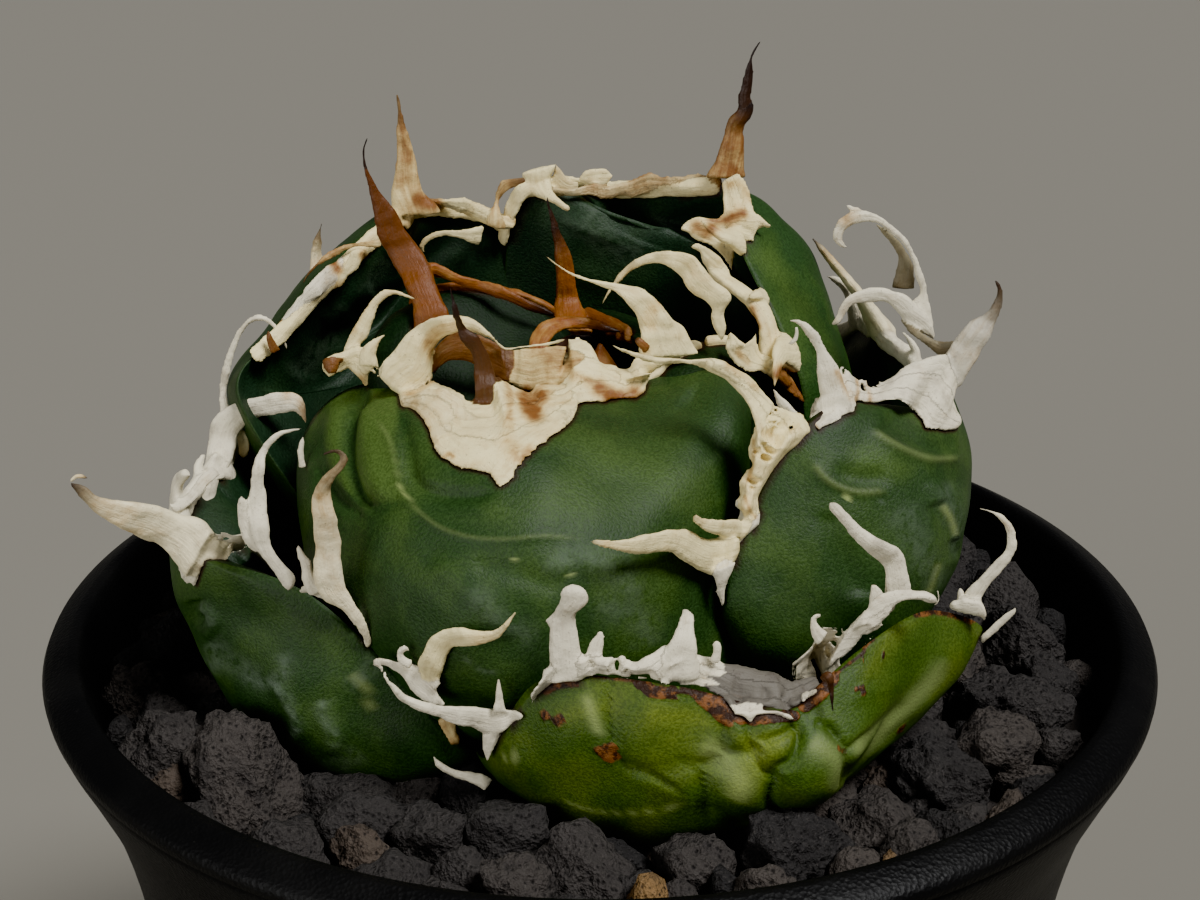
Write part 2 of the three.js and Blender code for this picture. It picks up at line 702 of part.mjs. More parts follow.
const plant = new THREE.Group();
plant.name = "potted_agave";
plant.add(meshOf("pot", toSolid(pot), 0x141416, 0.55, 0));
plant.add(meshOf("gravel", gravel, 0x35312f, 0.95, soilHeight));
plant.add(meshOf("stem", toSolid(stem), 0x6f7a3c, 0.7, soilHeight));
plant.add(meshOf("bud", toSolid(bud), 0x6b4a22, 0.5, soilHeight));
for (const name of names) {
  const green = flesh[name] ?? 0x29471f;
  const pale = horn[name] ?? 0xcfc4b2;
  plant.add(meshOf(`${name}_leaf`, solids[`${name}_leaf`], green, 0.5, soilHeight));
  plant.add(meshOf(`${name}_horn`, solids[`${name}_horn`], pale, 0.6, soilHeight));
}

export default plant;
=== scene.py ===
import bpy
import bmesh
import math
import random
import numpy as np
from mathutils import Matrix, Vector, noise
from mathutils.bvhtree import BVHTree


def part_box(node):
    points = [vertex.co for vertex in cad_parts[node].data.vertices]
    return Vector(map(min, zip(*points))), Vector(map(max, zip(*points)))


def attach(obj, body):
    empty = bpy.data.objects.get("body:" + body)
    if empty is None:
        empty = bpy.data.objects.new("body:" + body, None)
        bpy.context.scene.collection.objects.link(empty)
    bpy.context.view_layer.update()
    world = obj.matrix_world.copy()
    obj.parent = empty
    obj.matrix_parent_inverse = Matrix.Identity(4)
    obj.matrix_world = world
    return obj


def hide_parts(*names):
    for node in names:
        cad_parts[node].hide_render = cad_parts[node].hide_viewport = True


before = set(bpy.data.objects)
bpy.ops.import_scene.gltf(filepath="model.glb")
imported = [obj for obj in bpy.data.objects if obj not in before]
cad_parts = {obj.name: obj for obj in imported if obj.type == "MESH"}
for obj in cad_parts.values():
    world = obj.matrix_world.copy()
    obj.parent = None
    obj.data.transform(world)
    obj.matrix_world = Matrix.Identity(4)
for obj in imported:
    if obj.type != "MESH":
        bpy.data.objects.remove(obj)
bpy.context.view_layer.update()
random.seed(7)

# Leaf and stone measures are in millimetres, from the middle of the soil surface
soilHeight = 100


def toMetres(points):
    return (np.asarray(points, float) + [0, 0, soilHeight]) * 0.001


def toMillimetres(points):
    return np.asarray(points, float) * 1000 - [0, 0, soilHeight]


# Camera

camera = {
    "place": (0, -0.28188, 0.25111),
    "tiltDown": 23.37,
    "lens": 77.0,
}


def makeCamera():
    data = bpy.data.cameras.new("camera")
    data.lens = camera["lens"]
    data.sensor_width = 36
    data.clip_start = 0.01
    eye = bpy.data.objects.new("camera", data)
    eye.location = camera["place"]
    eye.rotation_euler = (math.radians(90 - camera["tiltDown"]), 0, 0)
    bpy.context.collection.objects.link(eye)
    bpy.context.scene.camera = eye


makeCamera()
print("camera placed")


# Places in the photograph, in its pixels, against millimetres in the scene

photo = {
    "wide": 1200,
    "middle": (600, 450),
    # pixels to a millimetre, about, at the plant
    "scale": 8.2,
}


def photoAxes():
    tilt = math.radians(camera["tiltDown"])
    ahead = np.array([0, math.cos(tilt), -math.sin(tilt)])
    up = np.array([0, math.sin(tilt), math.cos(tilt)])
    return toMillimetres(camera["place"]), ahead, up, camera["lens"] / 36 * photo["wide"]


def photoRay(x, y):
    eye, ahead, up, focal = photoAxes()
    right = np.array([1, 0, 0])
    return eye, ahead + right * (x - photo["middle"][0]) / focal + up * (photo["middle"][1] - y) / focal


def fromPhoto(x, y, depth):
    # the place seen at a pixel, with its y known
    eye, way = photoRay(x, y)
    return eye + way * (depth - eye[1]) / way[1]


def toPhoto(points):
    eye, ahead, up, focal = photoAxes()
    seen = points - eye
    far = seen @ ahead
    x = photo["middle"][0] + focal * seen[:, 0] / far
    y = photo["middle"][1] - focal * (seen @ up) / far
    return np.column_stack([x, y])


# Shader helpers

class Wire:
    # a socket that adds Math nodes when it is used in an expression
    def __init__(self, tree, socket):
        self.tree = tree
        self.socket = socket

    def maths(self, operation, first, second):
        made = self.tree.nodes.new("ShaderNodeMath")
        made.operation = operation
        for slot, value in zip(made.inputs, (first, second)):
            if isinstance(value, Wire):
                self.tree.links.new(value.socket, slot)
            else:
                slot.default_value = value
        return Wire(self.tree, made.outputs[0])

    def __add__(self, other):
        return self.maths("ADD", self, other)

    def __radd__(self, other):
        return self.maths("ADD", other, self)

    def __sub__(self, other):
        return self.maths("SUBTRACT", self, other)

    def __rsub__(self, other):
        return self.maths("SUBTRACT", other, self)

    def __mul__(self, other):
        return self.maths("MULTIPLY", self, other)

    def __rmul__(self, other):
        return self.maths("MULTIPLY", other, self)

    def __truediv__(self, other):
        return self.maths("DIVIDE", self, other)

    def __pow__(self, other):
        return self.maths("POWER", self, other)


class Finish:
    # one material's nodes
    def __init__(self, name):
        self.material = bpy.data.materials.new(name)
        self.material.use_nodes = True
        self.tree = self.material.node_tree
        self.tree.nodes.clear()

    def add(self, kind, settings=None, values=None, out=0):
        made = self.tree.nodes.new(kind)
        for key, value in (settings or {}).items():
            if key == "stops":
                ramp = made.color_ramp
                while len(ramp.elements) < len(value):
                    ramp.elements.new(0.5)
                for element, (place, colour) in zip(ramp.elements, value):
                    element.position = place
                    element.color = (*colour, 1)
            else:
                setattr(made, key, value)
        for key, value in (values or {}).items():
            if isinstance(value, Wire):
                self.tree.links.new(value.socket, made.inputs[key])
            else:
                made.inputs[key].default_value = value
        return Wire(self.tree, made.outputs[out]) if made.outputs else None

    def places(self):
        return self.add("ShaderNodeTexCoord", out="Object")

    def grain(self, size, detail=2, rough=0.5, at=None, warp=0):
        # noise 0 to 1 whose lumps are about size millimetres
        values = {"Scale": 1000 / size, "Detail": detail, "Roughness": rough, "Distortion": warp}
        values["Vector"] = at or self.places()
        return self.add("ShaderNodeTexNoise", values=values)

    def cells(self, size, at=None, feature="F1", out="Distance"):
        values = {"Scale": 1000 / size, "Vector": at or self.places()}
        return self.add("ShaderNodeTexVoronoi", {"feature": feature}, values, out)

    def between(self, value, low, high):
        # 0 below low, 1 above high, smooth between
        values = {"Value": value, "From Min": low, "From Max": high}
        return self.add("ShaderNodeMapRange", {"interpolation_type": "SMOOTHSTEP"}, values)

    def blend(self, first, second, amount, how="MIX"):
        first = (*first, 1) if isinstance(first, tuple) else first
        second = (*second, 1) if isinstance(second, tuple) else second
        settings = {"data_type": "RGBA", "blend_type": how}
        return self.add("ShaderNodeMix", settings, {0: amount, 6: first, 7: second}, 2)

    def masks(self, name):
        colour = self.add("ShaderNodeAttribute", {"attribute_name": name}, out="Color")
        parts = [self.add("ShaderNodeSeparateColor", values={0: colour}, out=k) for k in range(3)]
        return parts

    def finish(self, colour, roughness, bump=None, depth=0.1, fixed=None):
        values = {"Base Color": colour, "Roughness": roughness}
        if bump:
            values["Normal"] = self.add(
                "ShaderNodeBump", values={"Height": bump, "Distance": depth * 0.001, "Strength": 1.0})
        for key, value in (fixed or {}).items():
            values[key] = value
        shader = self.add("ShaderNodeBsdfPrincipled", values=values)
        self.add("ShaderNodeOutputMaterial", values={"Surface": shader})
        return self.material


# Mesh helpers

def curveThrough(points, u):
    points = np.array(points, float)
    last = len(points) - 1
    place = np.clip(np.asarray(u, float), 0, 1) * last
    k = np.minimum(place.astype(int), last - 1)
    t = (place - k)[:, None]
    padded = np.vstack([2 * points[0] - points[1], points, 2 * points[-1] - points[-2]])
    p0, p1, p2, p3 = padded[k], padded[k + 1], padded[k + 2], padded[k + 3]
    square = 2 * p0 - 5 * p1 + 4 * p2 - p3
    cube = 3 * p1 - p0 - 3 * p2 + p3
    return 0.5 * (2 * p1 + (p2 - p0) * t + square * t**2 + cube * t**3)


def unit(vectors):
    return vectors / np.maximum(np.linalg.norm(vectors, axis=-1, keepdims=True), 1e-9)


def smoothStep(low, high, value):
    t = np.clip((value - low) / (high - low), 0, 1)
    return t * t * (3 - 2 * t)


def lumps(points, size, seed=0.0):
    # smooth noise, about -1 to 1, whose lumps are about size across
    spots = np.asarray(points) / size + seed
    return np.array([noise.noise(Vector(spot)) for spot in spots]) * 1.6


def roundShell(around, along):
    # a closed ball of vertices: how far each lies from pole to pole, and its turn about the axis
    # built ring by ring, as the order of create_uvsphere's faces changes from run to run
    shell = bmesh.new()
    turns = [math.pi / 2 + 2 * math.pi * k / around for k in range(around)]
    rings = []
    for row in range(1, along):
        wide, height = math.sin(math.pi * row / along), math.cos(math.pi * row / along)
        rings.append([
            shell.verts.new((wide * math.cos(turn), wide * math.sin(turn), height)) for turn in turns])
    for height, ring in ((1, rings[0]), (-1, rings[-1])):
        pole = shell.verts.new((0, 0, height))
        for k in range(around):
            shell.faces.new((pole, ring[k - 1], ring[k]))
    for upper, lower in zip(rings, rings[1:]):
        for k in range(around):
            shell.faces.new((upper[k - 1], lower[k - 1], lower[k], upper[k]))
    spots = np.array([vert.co for vert in shell.verts])
    share = np.arccos(np.clip(spots[:, 2], -1, 1)) / math.pi
    turn = np.arctan2(spots[:, 1], spots[:, 0])
    return shell, share, turn


def awayFromPoles(share):
    # 0 at the two ends of a round shell, 1 between them
    return np.where((share < 1e-4) | (share > 1 - 1e-4), 0, 1)


def moveTo(shell, points):
    for vert, point in zip(shell.verts, points):
        vert.co = point
    bmesh.ops.recalc_face_normals(shell, faces=shell.faces)
    if shell.calc_volume(signed=True) < 0:
        bmesh.ops.reverse_faces(shell, faces=shell.faces)


def makeObject(name, shell):
    mesh = bpy.data.meshes.new(name)
    shell.to_mesh(mesh)
    shell.free()
    piece = bpy.data.objects.new(name, mesh)
    bpy.context.collection.objects.link(piece)
    return piece


def vertexPlaces(mesh):
    flat = np.empty(len(mesh.vertices) * 3)
    mesh.vertices.foreach_get("co", flat)
    return flat.reshape(-1, 3)


def setVertexPlaces(mesh, points):
    mesh.vertices.foreach_set("co", np.asarray(points, float).ravel())
    mesh.update()


def vertexNormals(mesh):
    flat = np.empty(len(mesh.vertices) * 3)
    mesh.vertices.foreach_get("normal", flat)
    return flat.reshape(-1, 3)


def paint(mesh, name, first, second=0.0, third=0.0):
    layer = mesh.color_attributes.new(name, "FLOAT_COLOR", "POINT")
    count = len(mesh.vertices)
    masks = np.ones((count, 4))
    for k, values in enumerate((first, second, third)):
        masks[:, k] = values
    layer.data.foreach_set("color", masks.ravel())


def shadeSmooth(mesh):
    mesh.shade_smooth()


def settle(piece, node, material):
    piece.data.materials.clear()
    piece.data.materials.append(material)
    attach(piece, "root")
    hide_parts(node)


# Leaf surface, the same three rails as the solids follow

def facePoints(leaf, s, v):
    left, middle, right = (
        curveThrough(leaf[rail] + [leaf["tip"]], s) for rail in ("left", "middle", "right"))
    k = leaf["round"] * math.pi / 2
    across = (np.sin(v * k) / math.sin(k))[:, None]
    depth = ((1 - np.cos(v * k)) / (1 - math.cos(k)))[:, None]
    return middle + (right - left) / 2 * across + ((left + right) / 2 - middle) * depth


def faceFrames(leaf, s, v):
    step = 0.01
    s0 = np.minimum(s, 0.97)
    along = unit(facePoints(leaf, s0 + step, v) - facePoints(leaf, s0 - step, v))
    v0 = np.clip(v, -0.98, 0.98)
    across = unit(facePoints(leaf, s0, v0 + step) - facePoints(leaf, s0, v0 - step))
    inward = unit(np.cross(along, across))
    return along, across, inward


# Leaves, from the stem towards the tip: left margin, middle of the outer face, right margin

frontLeaf = {
    "left": [(-4, -9, 1), (-14, -24, 3), (-12.5, -36, 8.5), (-6.5, -39, 19.7), (8, -42, 20.3)],
    "middle": [(3, -10, -2), (9, -25, -3), (14, -37, -1), (19, -43, 5), (24, -44, 11)],
    "right": [(8, -6, 1), (28, -10, 4), (44, -20, 15), (37, -27, 22), (28.5, -36, 22)],
    "tip": (20, -41.5, 16.6),
    "round": 0.65, "thick": 9, "start": 0.4, "band": 1.2, "strips": [],
    "tone": "white",
    "hooks": [
        (-40, "white", [
            (714, 662, 0, 1.2), (717, 652, 0, 1), (717, 644, 0, 0.9), (712, 645, 0, 0.5)]),
        (-24, "white", [
            (962, 606, 0, 1.1), (961, 597, 0, 0.73), (960, 588, 0, 0.25)]),
        (-42, "char", [
            (822, 679, 1, 0.9), (829, 676, 0, 0.9), (831, 690, 0, 0.7), (833, 713, -0.6, 0.4)]),
        (-34.6, "white", [
            (490, 786, 0, 1.9), (478, 779, 0, 1.5), (455, 773, 0, 1), (440, 765, 0, 0.8),
            (433, 756, 0, 0.4)]),
    ],
    "blades": [
        (-37, "white", 1.3, [
            (523, 719, -2.5), (513, 723, -1), (505, 731, -1), (495, 735), (482, 732), (473, 728, -1),
            (460, 726, -2), (444, 720, -2), (426, 714, -3), (410, 706, -3), (397, 695, -4), (387, 682, -4),
            (380, 668, -4), (372, 665, -4)], [
            (523, 715, -2.5), (520, 712, -2), (514, 709, -1), (505, 708), (492, 707), (478, 707, -1),
            (460, 706, -2), (437, 704, -2), (415, 699, -3), (399, 691, -3), (388, 679, -4), (382, 667, -4),
            (378, 658, -4), (371, 661, -4)]),
        (-38, "white", 1.1, [(492, 713), (495, 696), (498, 679)], [
            (508, 713), (503, 696), (499, 679)]),
        (-37, "white", 1.1, [(482, 733), (483, 745), (484, 756), (487, 762)], [
            (505, 731), (498, 741), (493, 750), (490, 760)]),
        (-40, "white", 2.2, [
            (548, 684), (550, 672), (549, 655), (549, 635), (550, 622), (554, 611), (560, 600, -0.6),
            (560, 591, -1), (565, 585, -1), (572, 583, -1)], [
            (584, 680), (583, 668), (582, 655), (580, 640), (577.5, 626), (576, 615), (581, 609, -0.6),
            (587, 604, -1), (589, 597, -1), (585, 588, -1), (574, 583, -1)]),
        (-40, "white", 0.8, [(553, 618), (549, 620), (545, 622)], [
            (556, 610), (550, 616), (546, 621)]),
        (-40, "white", 1.4, [
            (583, 672), (585, 656), (588, 645), (593, 637), (599, 630)], [
            (606, 672), (603, 656), (604, 645), (605, 635), (602, 630)]),
        (-40, "white", 2, [
            (650, 678), (660, 655), (671, 639), (676, 628, 1), (680, 616, 2), (683, 609, 2)], [
            (702, 678), (698, 657), (696, 640), (695, 626, 1), (694, 615, 2), (689, 610, 2)]),
        (-36, "white", 1.2, [
            (818, 646), (812, 637), (810, 628), (810, 619), (813, 614), (819, 613)], [
            (828, 632), (821, 626), (817, 621), (818, 618), (821, 617), (822, 614)]),
        (-31, "white", 1, [(868, 614), (869, 600), (870, 584)], [
            (886, 604), (883, 592), (876, 584)]),
        (-29, "white", 2, [
            (884, 600), (885, 578), (883, 567), (878, 560), (870, 554, -1), (859, 545, -2), (848, 532, -2),
            (837, 519, -2), (829, 510, -2), (828, 503, -2), (832, 501, -2)], [
            (914, 598), (911, 585), (908, 573), (905, 558), (900, 549), (891, 544, -1), (880, 539, -2),
            (870, 533, -2), (859, 524, -2), (848, 513, -2), (839, 504, -2), (833, 501, -2)]),
        (-27, "white", 0.7, [(932, 606), (938, 600), (937, 590)], [
            (938, 605), (939, 599), (938, 590)]),
        (-24, "white", 1.6, [
            (962, 612), (965, 594), (972, 584), (981, 574), (992, 562), (1001, 554), (1005, 547),
            (1006, 536), (1003, 525), (996, 516), (987, 511), (977, 508)], [
            (981, 615), (981, 601), (985, 592), (994, 581), (1003, 570), (1012, 558), (1017, 547),
            (1016, 536), (1012, 525), (1005, 517), (996, 512), (978, 508)]),
        (-24, "white", 1, [(958, 612), (953, 609), (948, 607)], [
            (962, 600), (956, 602), (950, 603)]),
        (-22, "white", 1, [(981, 646), (995, 633), (1008, 621), (1018, 611)], [
            (980, 636), (992, 625), (1003, 615), (1016, 606)]),
    ],
    "flaps": [
        (-40.6, "white", 1.8, [
            (531, 698), (534, 704), (537, 697), (547, 688), (561, 680), (572, 680), (576, 684), (583, 680),
            (594, 672), (603, 674), (617, 674), (628, 677), (639, 679), (648, 679), (659, 684), (671, 685),
            (684, 684), (694, 683), (705, 687), (716, 692)], [
            (529, 692, 0), (534, 690, 0), (541, 680, 0), (549, 669, 0), (560, 662, 0), (575, 660, 0),
            (590, 656, 0), (605, 658, 0), (615, 657, 0), (624, 656, 0), (632, 664, 0), (640, 662, 0),
            (648, 656, 0), (664, 644, 1), (680, 646, 1), (694, 655, 2), (706, 657, 2), (726, 660, 2)]),
        # painted shade: the inner flange is darkened to grey-black where it lies in shade
        (-41, "flange", 1.6, [
            (705, 690, 0), (716, 695, -0.5), (723, 702, -1), (728, 709, -1.5), (734, 716, -1.5),
            (756, 716, -1.5), (776, 714, -1), (792, 719, 0), (795, 708, 0), (801, 703, 1), (810, 699, 2),
            (820, 691, 3)], [
            (706, 660, 3), (722, 662, 3), (741, 664, 3), (758, 669, 3), (776, 671, 3), (788, 678, 3),
            (796, 680, 4), (806, 679, 5), (819, 675, 6)]),
        (-42.8, "white", 0.8, [
            (731, 718, 0), (745, 718, 0), (760, 717, 0), (776, 717, 0), (794, 721, 0)], [
            (733, 713, 0), (748, 713, 0), (762, 712, 0), (777, 711, 0), (793, 716, 0)]),
        (-39, "white", 0.7, [
            (794, 708), (806, 702), (818, 693)], [
            (797, 700), (808, 696), (818, 688)]),
        (-34, "white", 1.7, [
            (794, 681, 0), (800, 679), (815, 676), (824, 672), (829, 666), (838, 660), (852, 655),
            (860, 648), (866, 639), (873, 632), (880, 622), (883, 610), (891, 606), (901, 601), (911, 599),
            (922, 599), (929, 603), (938, 605)], [
            (790, 669, 0), (791, 664, 0), (799, 658, 0), (806, 652, 0), (814, 644, 0), (818, 634, 0),
            (824, 625, 0), (835, 626, 0), (848, 631, 0), (855, 623, 0), (862, 617, 0), (869, 608, 0),
            (873, 600, 0), (884, 592, 0), (898, 588, 0), (910, 588, 0), (915, 591, 0), (925, 592, 0),
            (934, 595, 0), (939, 600, 0)]),
        (-25, "white", 0.9, [
            (948, 608), (955, 611), (965, 614), (978, 617), (985, 619), (985, 625)], [
            (950, 603, 0), (956, 601, 0), (962, 598, 0), (980, 601, 0), (985, 608, 0), (987, 614, 0)]),
    ],
    "ridges": [
        (-0.54, 0.5, [(612, 672), (610, 700), (611, 725), (616, 750)]),
        (-0.48, 0.5, [(616, 750), (628, 768), (650, 775), (680, 790)]),
        (-0.54, 0.5, [(680, 762), (704, 763), (720, 758)]),
        (-0.3, 0.6, [(628, 768), (660, 768), (690, 762)]),
        (-0.78, 0.6, [(722, 716), (724, 740), (718, 760), (704, 770), (706, 800), (704, 830)]),
        (-0.66, 0.5, [(722, 752), (745, 752), (760, 745)]),
        (-0.6, 0.5, [(748, 717), (750, 735), (752, 750)]),
        (-0.6, 0.5, [(758, 742), (780, 735), (795, 725)]),
        (-0.9, 0.6, [
            (795, 716), (797, 740), (790, 758), (776, 766), (773, 780), (770, 800), (778, 815),
            (790, 830)]),
        (-0.54, 0.5, [(752, 750), (760, 765), (773, 778)]),
        (-0.66, 0.6, [(822, 722), (838, 740), (845, 752), (844, 770), (838, 785)]),
        (-0.54, 0.6, [(846, 752), (870, 735), (905, 705)]),
        (-0.48, 0.6, [(844, 785), (862, 775), (880, 755)]),
        (-0.36, 0.6, [(838, 740), (830, 728), (812, 722)]),
        (0.21, 0.7, [(845, 700), (880, 690), (930, 670), (970, 650)]),
        (-0.3, 0.6, [(855, 745), (890, 735), (925, 715)]),
        (-0.42, 0.7, [(700, 806), (725, 812), (745, 828)]),
    ],
    "puffs": [
        (0.77, 2.2, 772, 725), (0.7, 2, 736, 733), (1.05, 3.2, 740, 785), (0.91, 2.6, 775, 752),
        (1.19, 3.6, 812, 785), (0.84, 3, 815, 745), (0.63, 4, 660, 735), (0.42, 4, 570, 730),
        (0.42, 3, 690, 790)],
    "pale": [
        (0.5, 0.7, [(585, 690), (593, 715), (600, 735)]),
        (0.45, 1.6, [(700, 740), (740, 775), (735, 800)]),
        (0.5, 0.25, [(560, 800), (600, 812), (650, 812), (690, 800)]),
        (0.5, 0.3, [(500, 755), (510, 760), (520, 752)]),
        (0.4, 1.2, [(850, 760), (900, 715), (950, 660)]),
        (0.35, 1.4, [(805, 740), (835, 760), (830, 790)]),
    ],
    "scabs": [
        (0.9, 0.55, [(540, 697), (556, 685), (575, 683)]),
        (0.7, 0.5, [(585, 679), (610, 676), (640, 680)]),
        (1, 0.9, [(640, 683), (655, 692), (672, 692)]),
        (0.8, 0.5, [(672, 691), (700, 689)]),
        (1, 1.5, [(703, 693), (716, 704), (726, 714)]),
        (1, 0.7, [(726, 714), (745, 719), (768, 719), (794, 716)]),
        (1, 1, [(805, 705), (820, 693), (832, 678)]),
        (0.7, 0.4, [(832, 678), (850, 662), (868, 645), (882, 618)]),
        (1, 1.3, [(884, 611), (897, 606), (912, 605), (926, 607)]),
        (0.9, 0.6, [(926, 608), (940, 612), (960, 618), (984, 625)]),
        (0.8, 0.8, [(548, 718), (560, 716)]),
        (0.9, 1.1, [(604, 752), (611, 752)]),
        (0.8, 0.6, [(858, 688), (862, 690)]),
        (1, 0.25, [(864, 662), (866, 662)]),
        (1, 0.2, [(881, 655), (883, 655)]),
        (1, 0.4, [(894, 733), (901, 732)]),
        (0.5, 0.5, [(838, 748), (846, 752)]),
    ],
    "patches": [
        (0.9, 3, [
            (640, 690), (700, 700), (735, 722), (800, 722), (800, 745), (745, 800), (720, 790),
            (725, 740), (640, 730)]),
        (0.8, 4, [(850, 670), (885, 615), (930, 615), (905, 650), (860, 700)]),
        (0.7, 4, [(540, 700), (620, 685), (620, 720), (560, 735)]),
    ],
    "detail": (96, 240), "fineness": 0.26,
}

leftLeaf = {
    "left": [(-9, 0, 1), (-30, 4, 4), (-42, 8, 16), (-46, 0, 26.5), (-49, -11, 26)],
    "middle": [(-8, -5, -2), (-23, -13, -3), (-38, -18, 0), (-44, -20, 8), (-46, -20, 17)],
    "right": [(-5, -9, 1), (-13, -24, 3), (-14.5, -30, 5.5), (-23, -29, 15.5), (-33, -26, 23.5)],
    "tip": (-44.5, -22, 25.5),
    "round": 0.7, "thick": 10, "start": 0.4, "band": 1.2, "strips": ["left"],
    "plain": ["left"],
    "tone": "white",
    "hooks": [
        (-24, "tipped", [
            (70, 482, 0, 0.49), (77, 476, 0, 0.37), (88, 478, 0, 0.25)]),
        (-34, "white", [
            (412, 664, 0, 1.2), (402, 660, 0, 1.2), (400, 652, 0, 0.9), (405, 648, 0, 0.7),
            (410, 651, 0, 0.4)]),
        (-31, "tan", [
            (446, 716, 0, 2.4), (452, 735, 0, 1.5), (459, 744, 0, 1.8)]),
    ],
    "blades": [
        (-21, "tipped", 3, [
            (190, 580, -1), (172, 556), (160, 545), (142, 537, -1), (120, 527, -3), (100, 516, -4),
            (83, 500, -4), (68, 484, -4)], [
            (216, 533, -1), (203, 519), (180, 513), (160, 505, -1), (130, 501, -3), (100, 496, -4),
            (84, 485, -4), (68, 481, -4)]),
        (-26, "white", 1.4, [
            (256, 553), (247, 545), (240, 532), (236, 520), (236, 505), (241, 495)], [
            (266, 545), (258, 533), (251, 522), (247, 512), (246, 503), (242, 495)]),
        (-26.5, "white", 1.8, [
            (291, 593), (283, 585), (272, 570), (262, 556), (255, 543), (250, 528), (248, 510, 1),
            (249, 490, 1), (251, 472, 1), (256, 456, 2), (266, 440, 2), (280, 430, 2), (303, 427, 2)], [
            (298, 578), (288, 568), (279, 557), (273, 545), (270, 525), (267, 500, 1), (265, 480, 1),
            (265, 465, 1), (268, 452, 2), (275, 442, 2), (285, 435, 2), (303, 430, 2)]),
        (-29.5, "tipped", 2.2, [
            (367, 650, 1), (357, 628), (343, 611), (325, 601), (315, 585), (313, 565), (315, 545),
            (313, 520, -1), (311, 498, -1), (316, 486, -1), (325, 474, -2), (337, 463, -2), (340, 456, -2),
            (332, 453, -2), (320, 457, -2)], [
            (374, 643, 1), (366, 620), (355, 603), (348, 588), (343, 572), (341, 555), (341, 540),
            (337, 515, -1), (332, 500, -1), (331, 488, -1), (336, 478, -2), (346, 467, -2), (349, 457, -2),
            (338, 448, -2), (320, 454, -2)]),
        (-28.5, "white", 1.3, [
            (310, 596), (302, 580), (300, 565), (296, 550), (298, 545)], [
            (326, 590), (315, 575), (312, 562), (304, 553), (299, 545)]),
        (-34.5, "cream", 2, [
            (421, 672), (418, 662), (424, 648, -1), (428, 640, -1), (435, 633, -1.5), (446, 628, -2),
            (460, 627, -3), (471, 629, -3.5), (482, 630.5, -4), (493, 629.5, -4.5), (502, 624, -5),
            (510, 616, -5), (516, 610, -5)], [
            (437, 690), (440, 680), (443, 669, -1), (447, 657.5, -1), (453, 647.5, -1.5), (462, 646, -2.5),
            (475, 645, -3.5), (489, 643, -4), (500, 638.5, -4.5), (507, 630.5, -5), (514, 618, -5),
            (517, 611, -5)]),
        (-33, "white", 1.2, [
            (445, 707, -4), (426, 702, -2), (412, 691, -1), (404, 678), (396, 672), (384, 665, 1),
            (372, 664, 1.5)], [
            (444, 703, -4), (437, 689, -2), (440, 680, -2.5), (420, 666), (408, 662), (396, 660),
            (376, 658, 1)]),
        (-15, "white", 1.2, [
            (175, 514), (190, 505, 2), (200, 497, 4), (207, 487, 5), (215, 480, 6), (222, 474, 7)], [
            (168, 505), (180, 499, 2), (190, 489, 4), (197, 478, 5), (204, 471, 6), (213, 465, 7)]),
    ],
    "flaps": [
        (-21, "white", 1.2, [
            (187, 591, 0), (190, 579, 0), (196, 588), (200, 575), (204, 565), (215, 558), (230, 554),
            (242, 551), (249, 546)], [
            (176, 560, 0), (178, 545, 0), (187, 533, 0), (197, 522, 0), (207, 524, 0), (216, 533, -1),
            (224, 531, -2), (233, 535, -2), (244, 533, -3)]),
        (-25, "white", 1, [
            (249, 547), (262, 558), (276, 575), (291, 592)], [
            (252, 540, 0), (266, 545, 0), (282, 563, 0), (298, 578, 0)]),
        (-28, "white", 1, [
            (298, 593), (310, 593), (325, 601), (343, 611), (357, 628), (367, 650)], [
            (302, 584, 0), (318, 586, 0), (333, 590, 0), (350, 598, 0), (364, 620, 0), (374, 643, 0)]),
    ],
    "ridges": [
        (0.5, 0.7, [(274, 683), (288, 703), (296, 728), (290, 742), (270, 748)]),
        (0.45, 0.8, [(225, 722), (240, 738), (262, 748), (285, 750)]),
        (0.45, 0.8, [(324, 700), (328, 720), (333, 740), (325, 755)]),
        (-0.5, 1, [(232, 712), (250, 730), (280, 738)]),
        (0.5, 0.8, [(198, 605), (210, 615), (214, 625), (205, 640)]),
        (-0.6, 1, [(192, 600), (196, 615), (205, 622)]),
    ],
    "pale": [
        (0.35, 0.5, [(352, 670), (366, 690), (372, 715)]),
    ],
    "wax": [
        (0.75, 0.45, [(262, 683), (275, 684), (286, 697), (296, 722), (294, 738)]),
        (0.5, 0.8, [(240, 675), (265, 683), (285, 670), (280, 650)]),
        (0.5, 0.6, [(324, 698), (322, 712), (332, 728), (336, 752)]),
        (0.4, 1.4, [(208, 640), (220, 655), (212, 668)]),
        (0.4, 1.2, [(200, 668), (230, 662), (262, 680)]),
        (0.4, 1.2, [(222, 712), (240, 738), (275, 752), (300, 745)]),
        (0.3, 1.6, [(320, 755), (345, 765), (360, 750)]),
        (0.35, 1, [(345, 690), (368, 672), (378, 650)]),
        (0.4, 0.7, [(196, 604), (209, 614), (213, 626)]),
    ],
    "patches": [
        (0.25, 4, [(250, 560), (300, 595), (350, 625), (372, 665), (340, 690), (280, 640), (240, 600)]),
        (0.55, 2, [(362, 640), (376, 650), (380, 680), (366, 670)]),
    ],
    "detail": (96, 240), "fineness": 0.26,
}

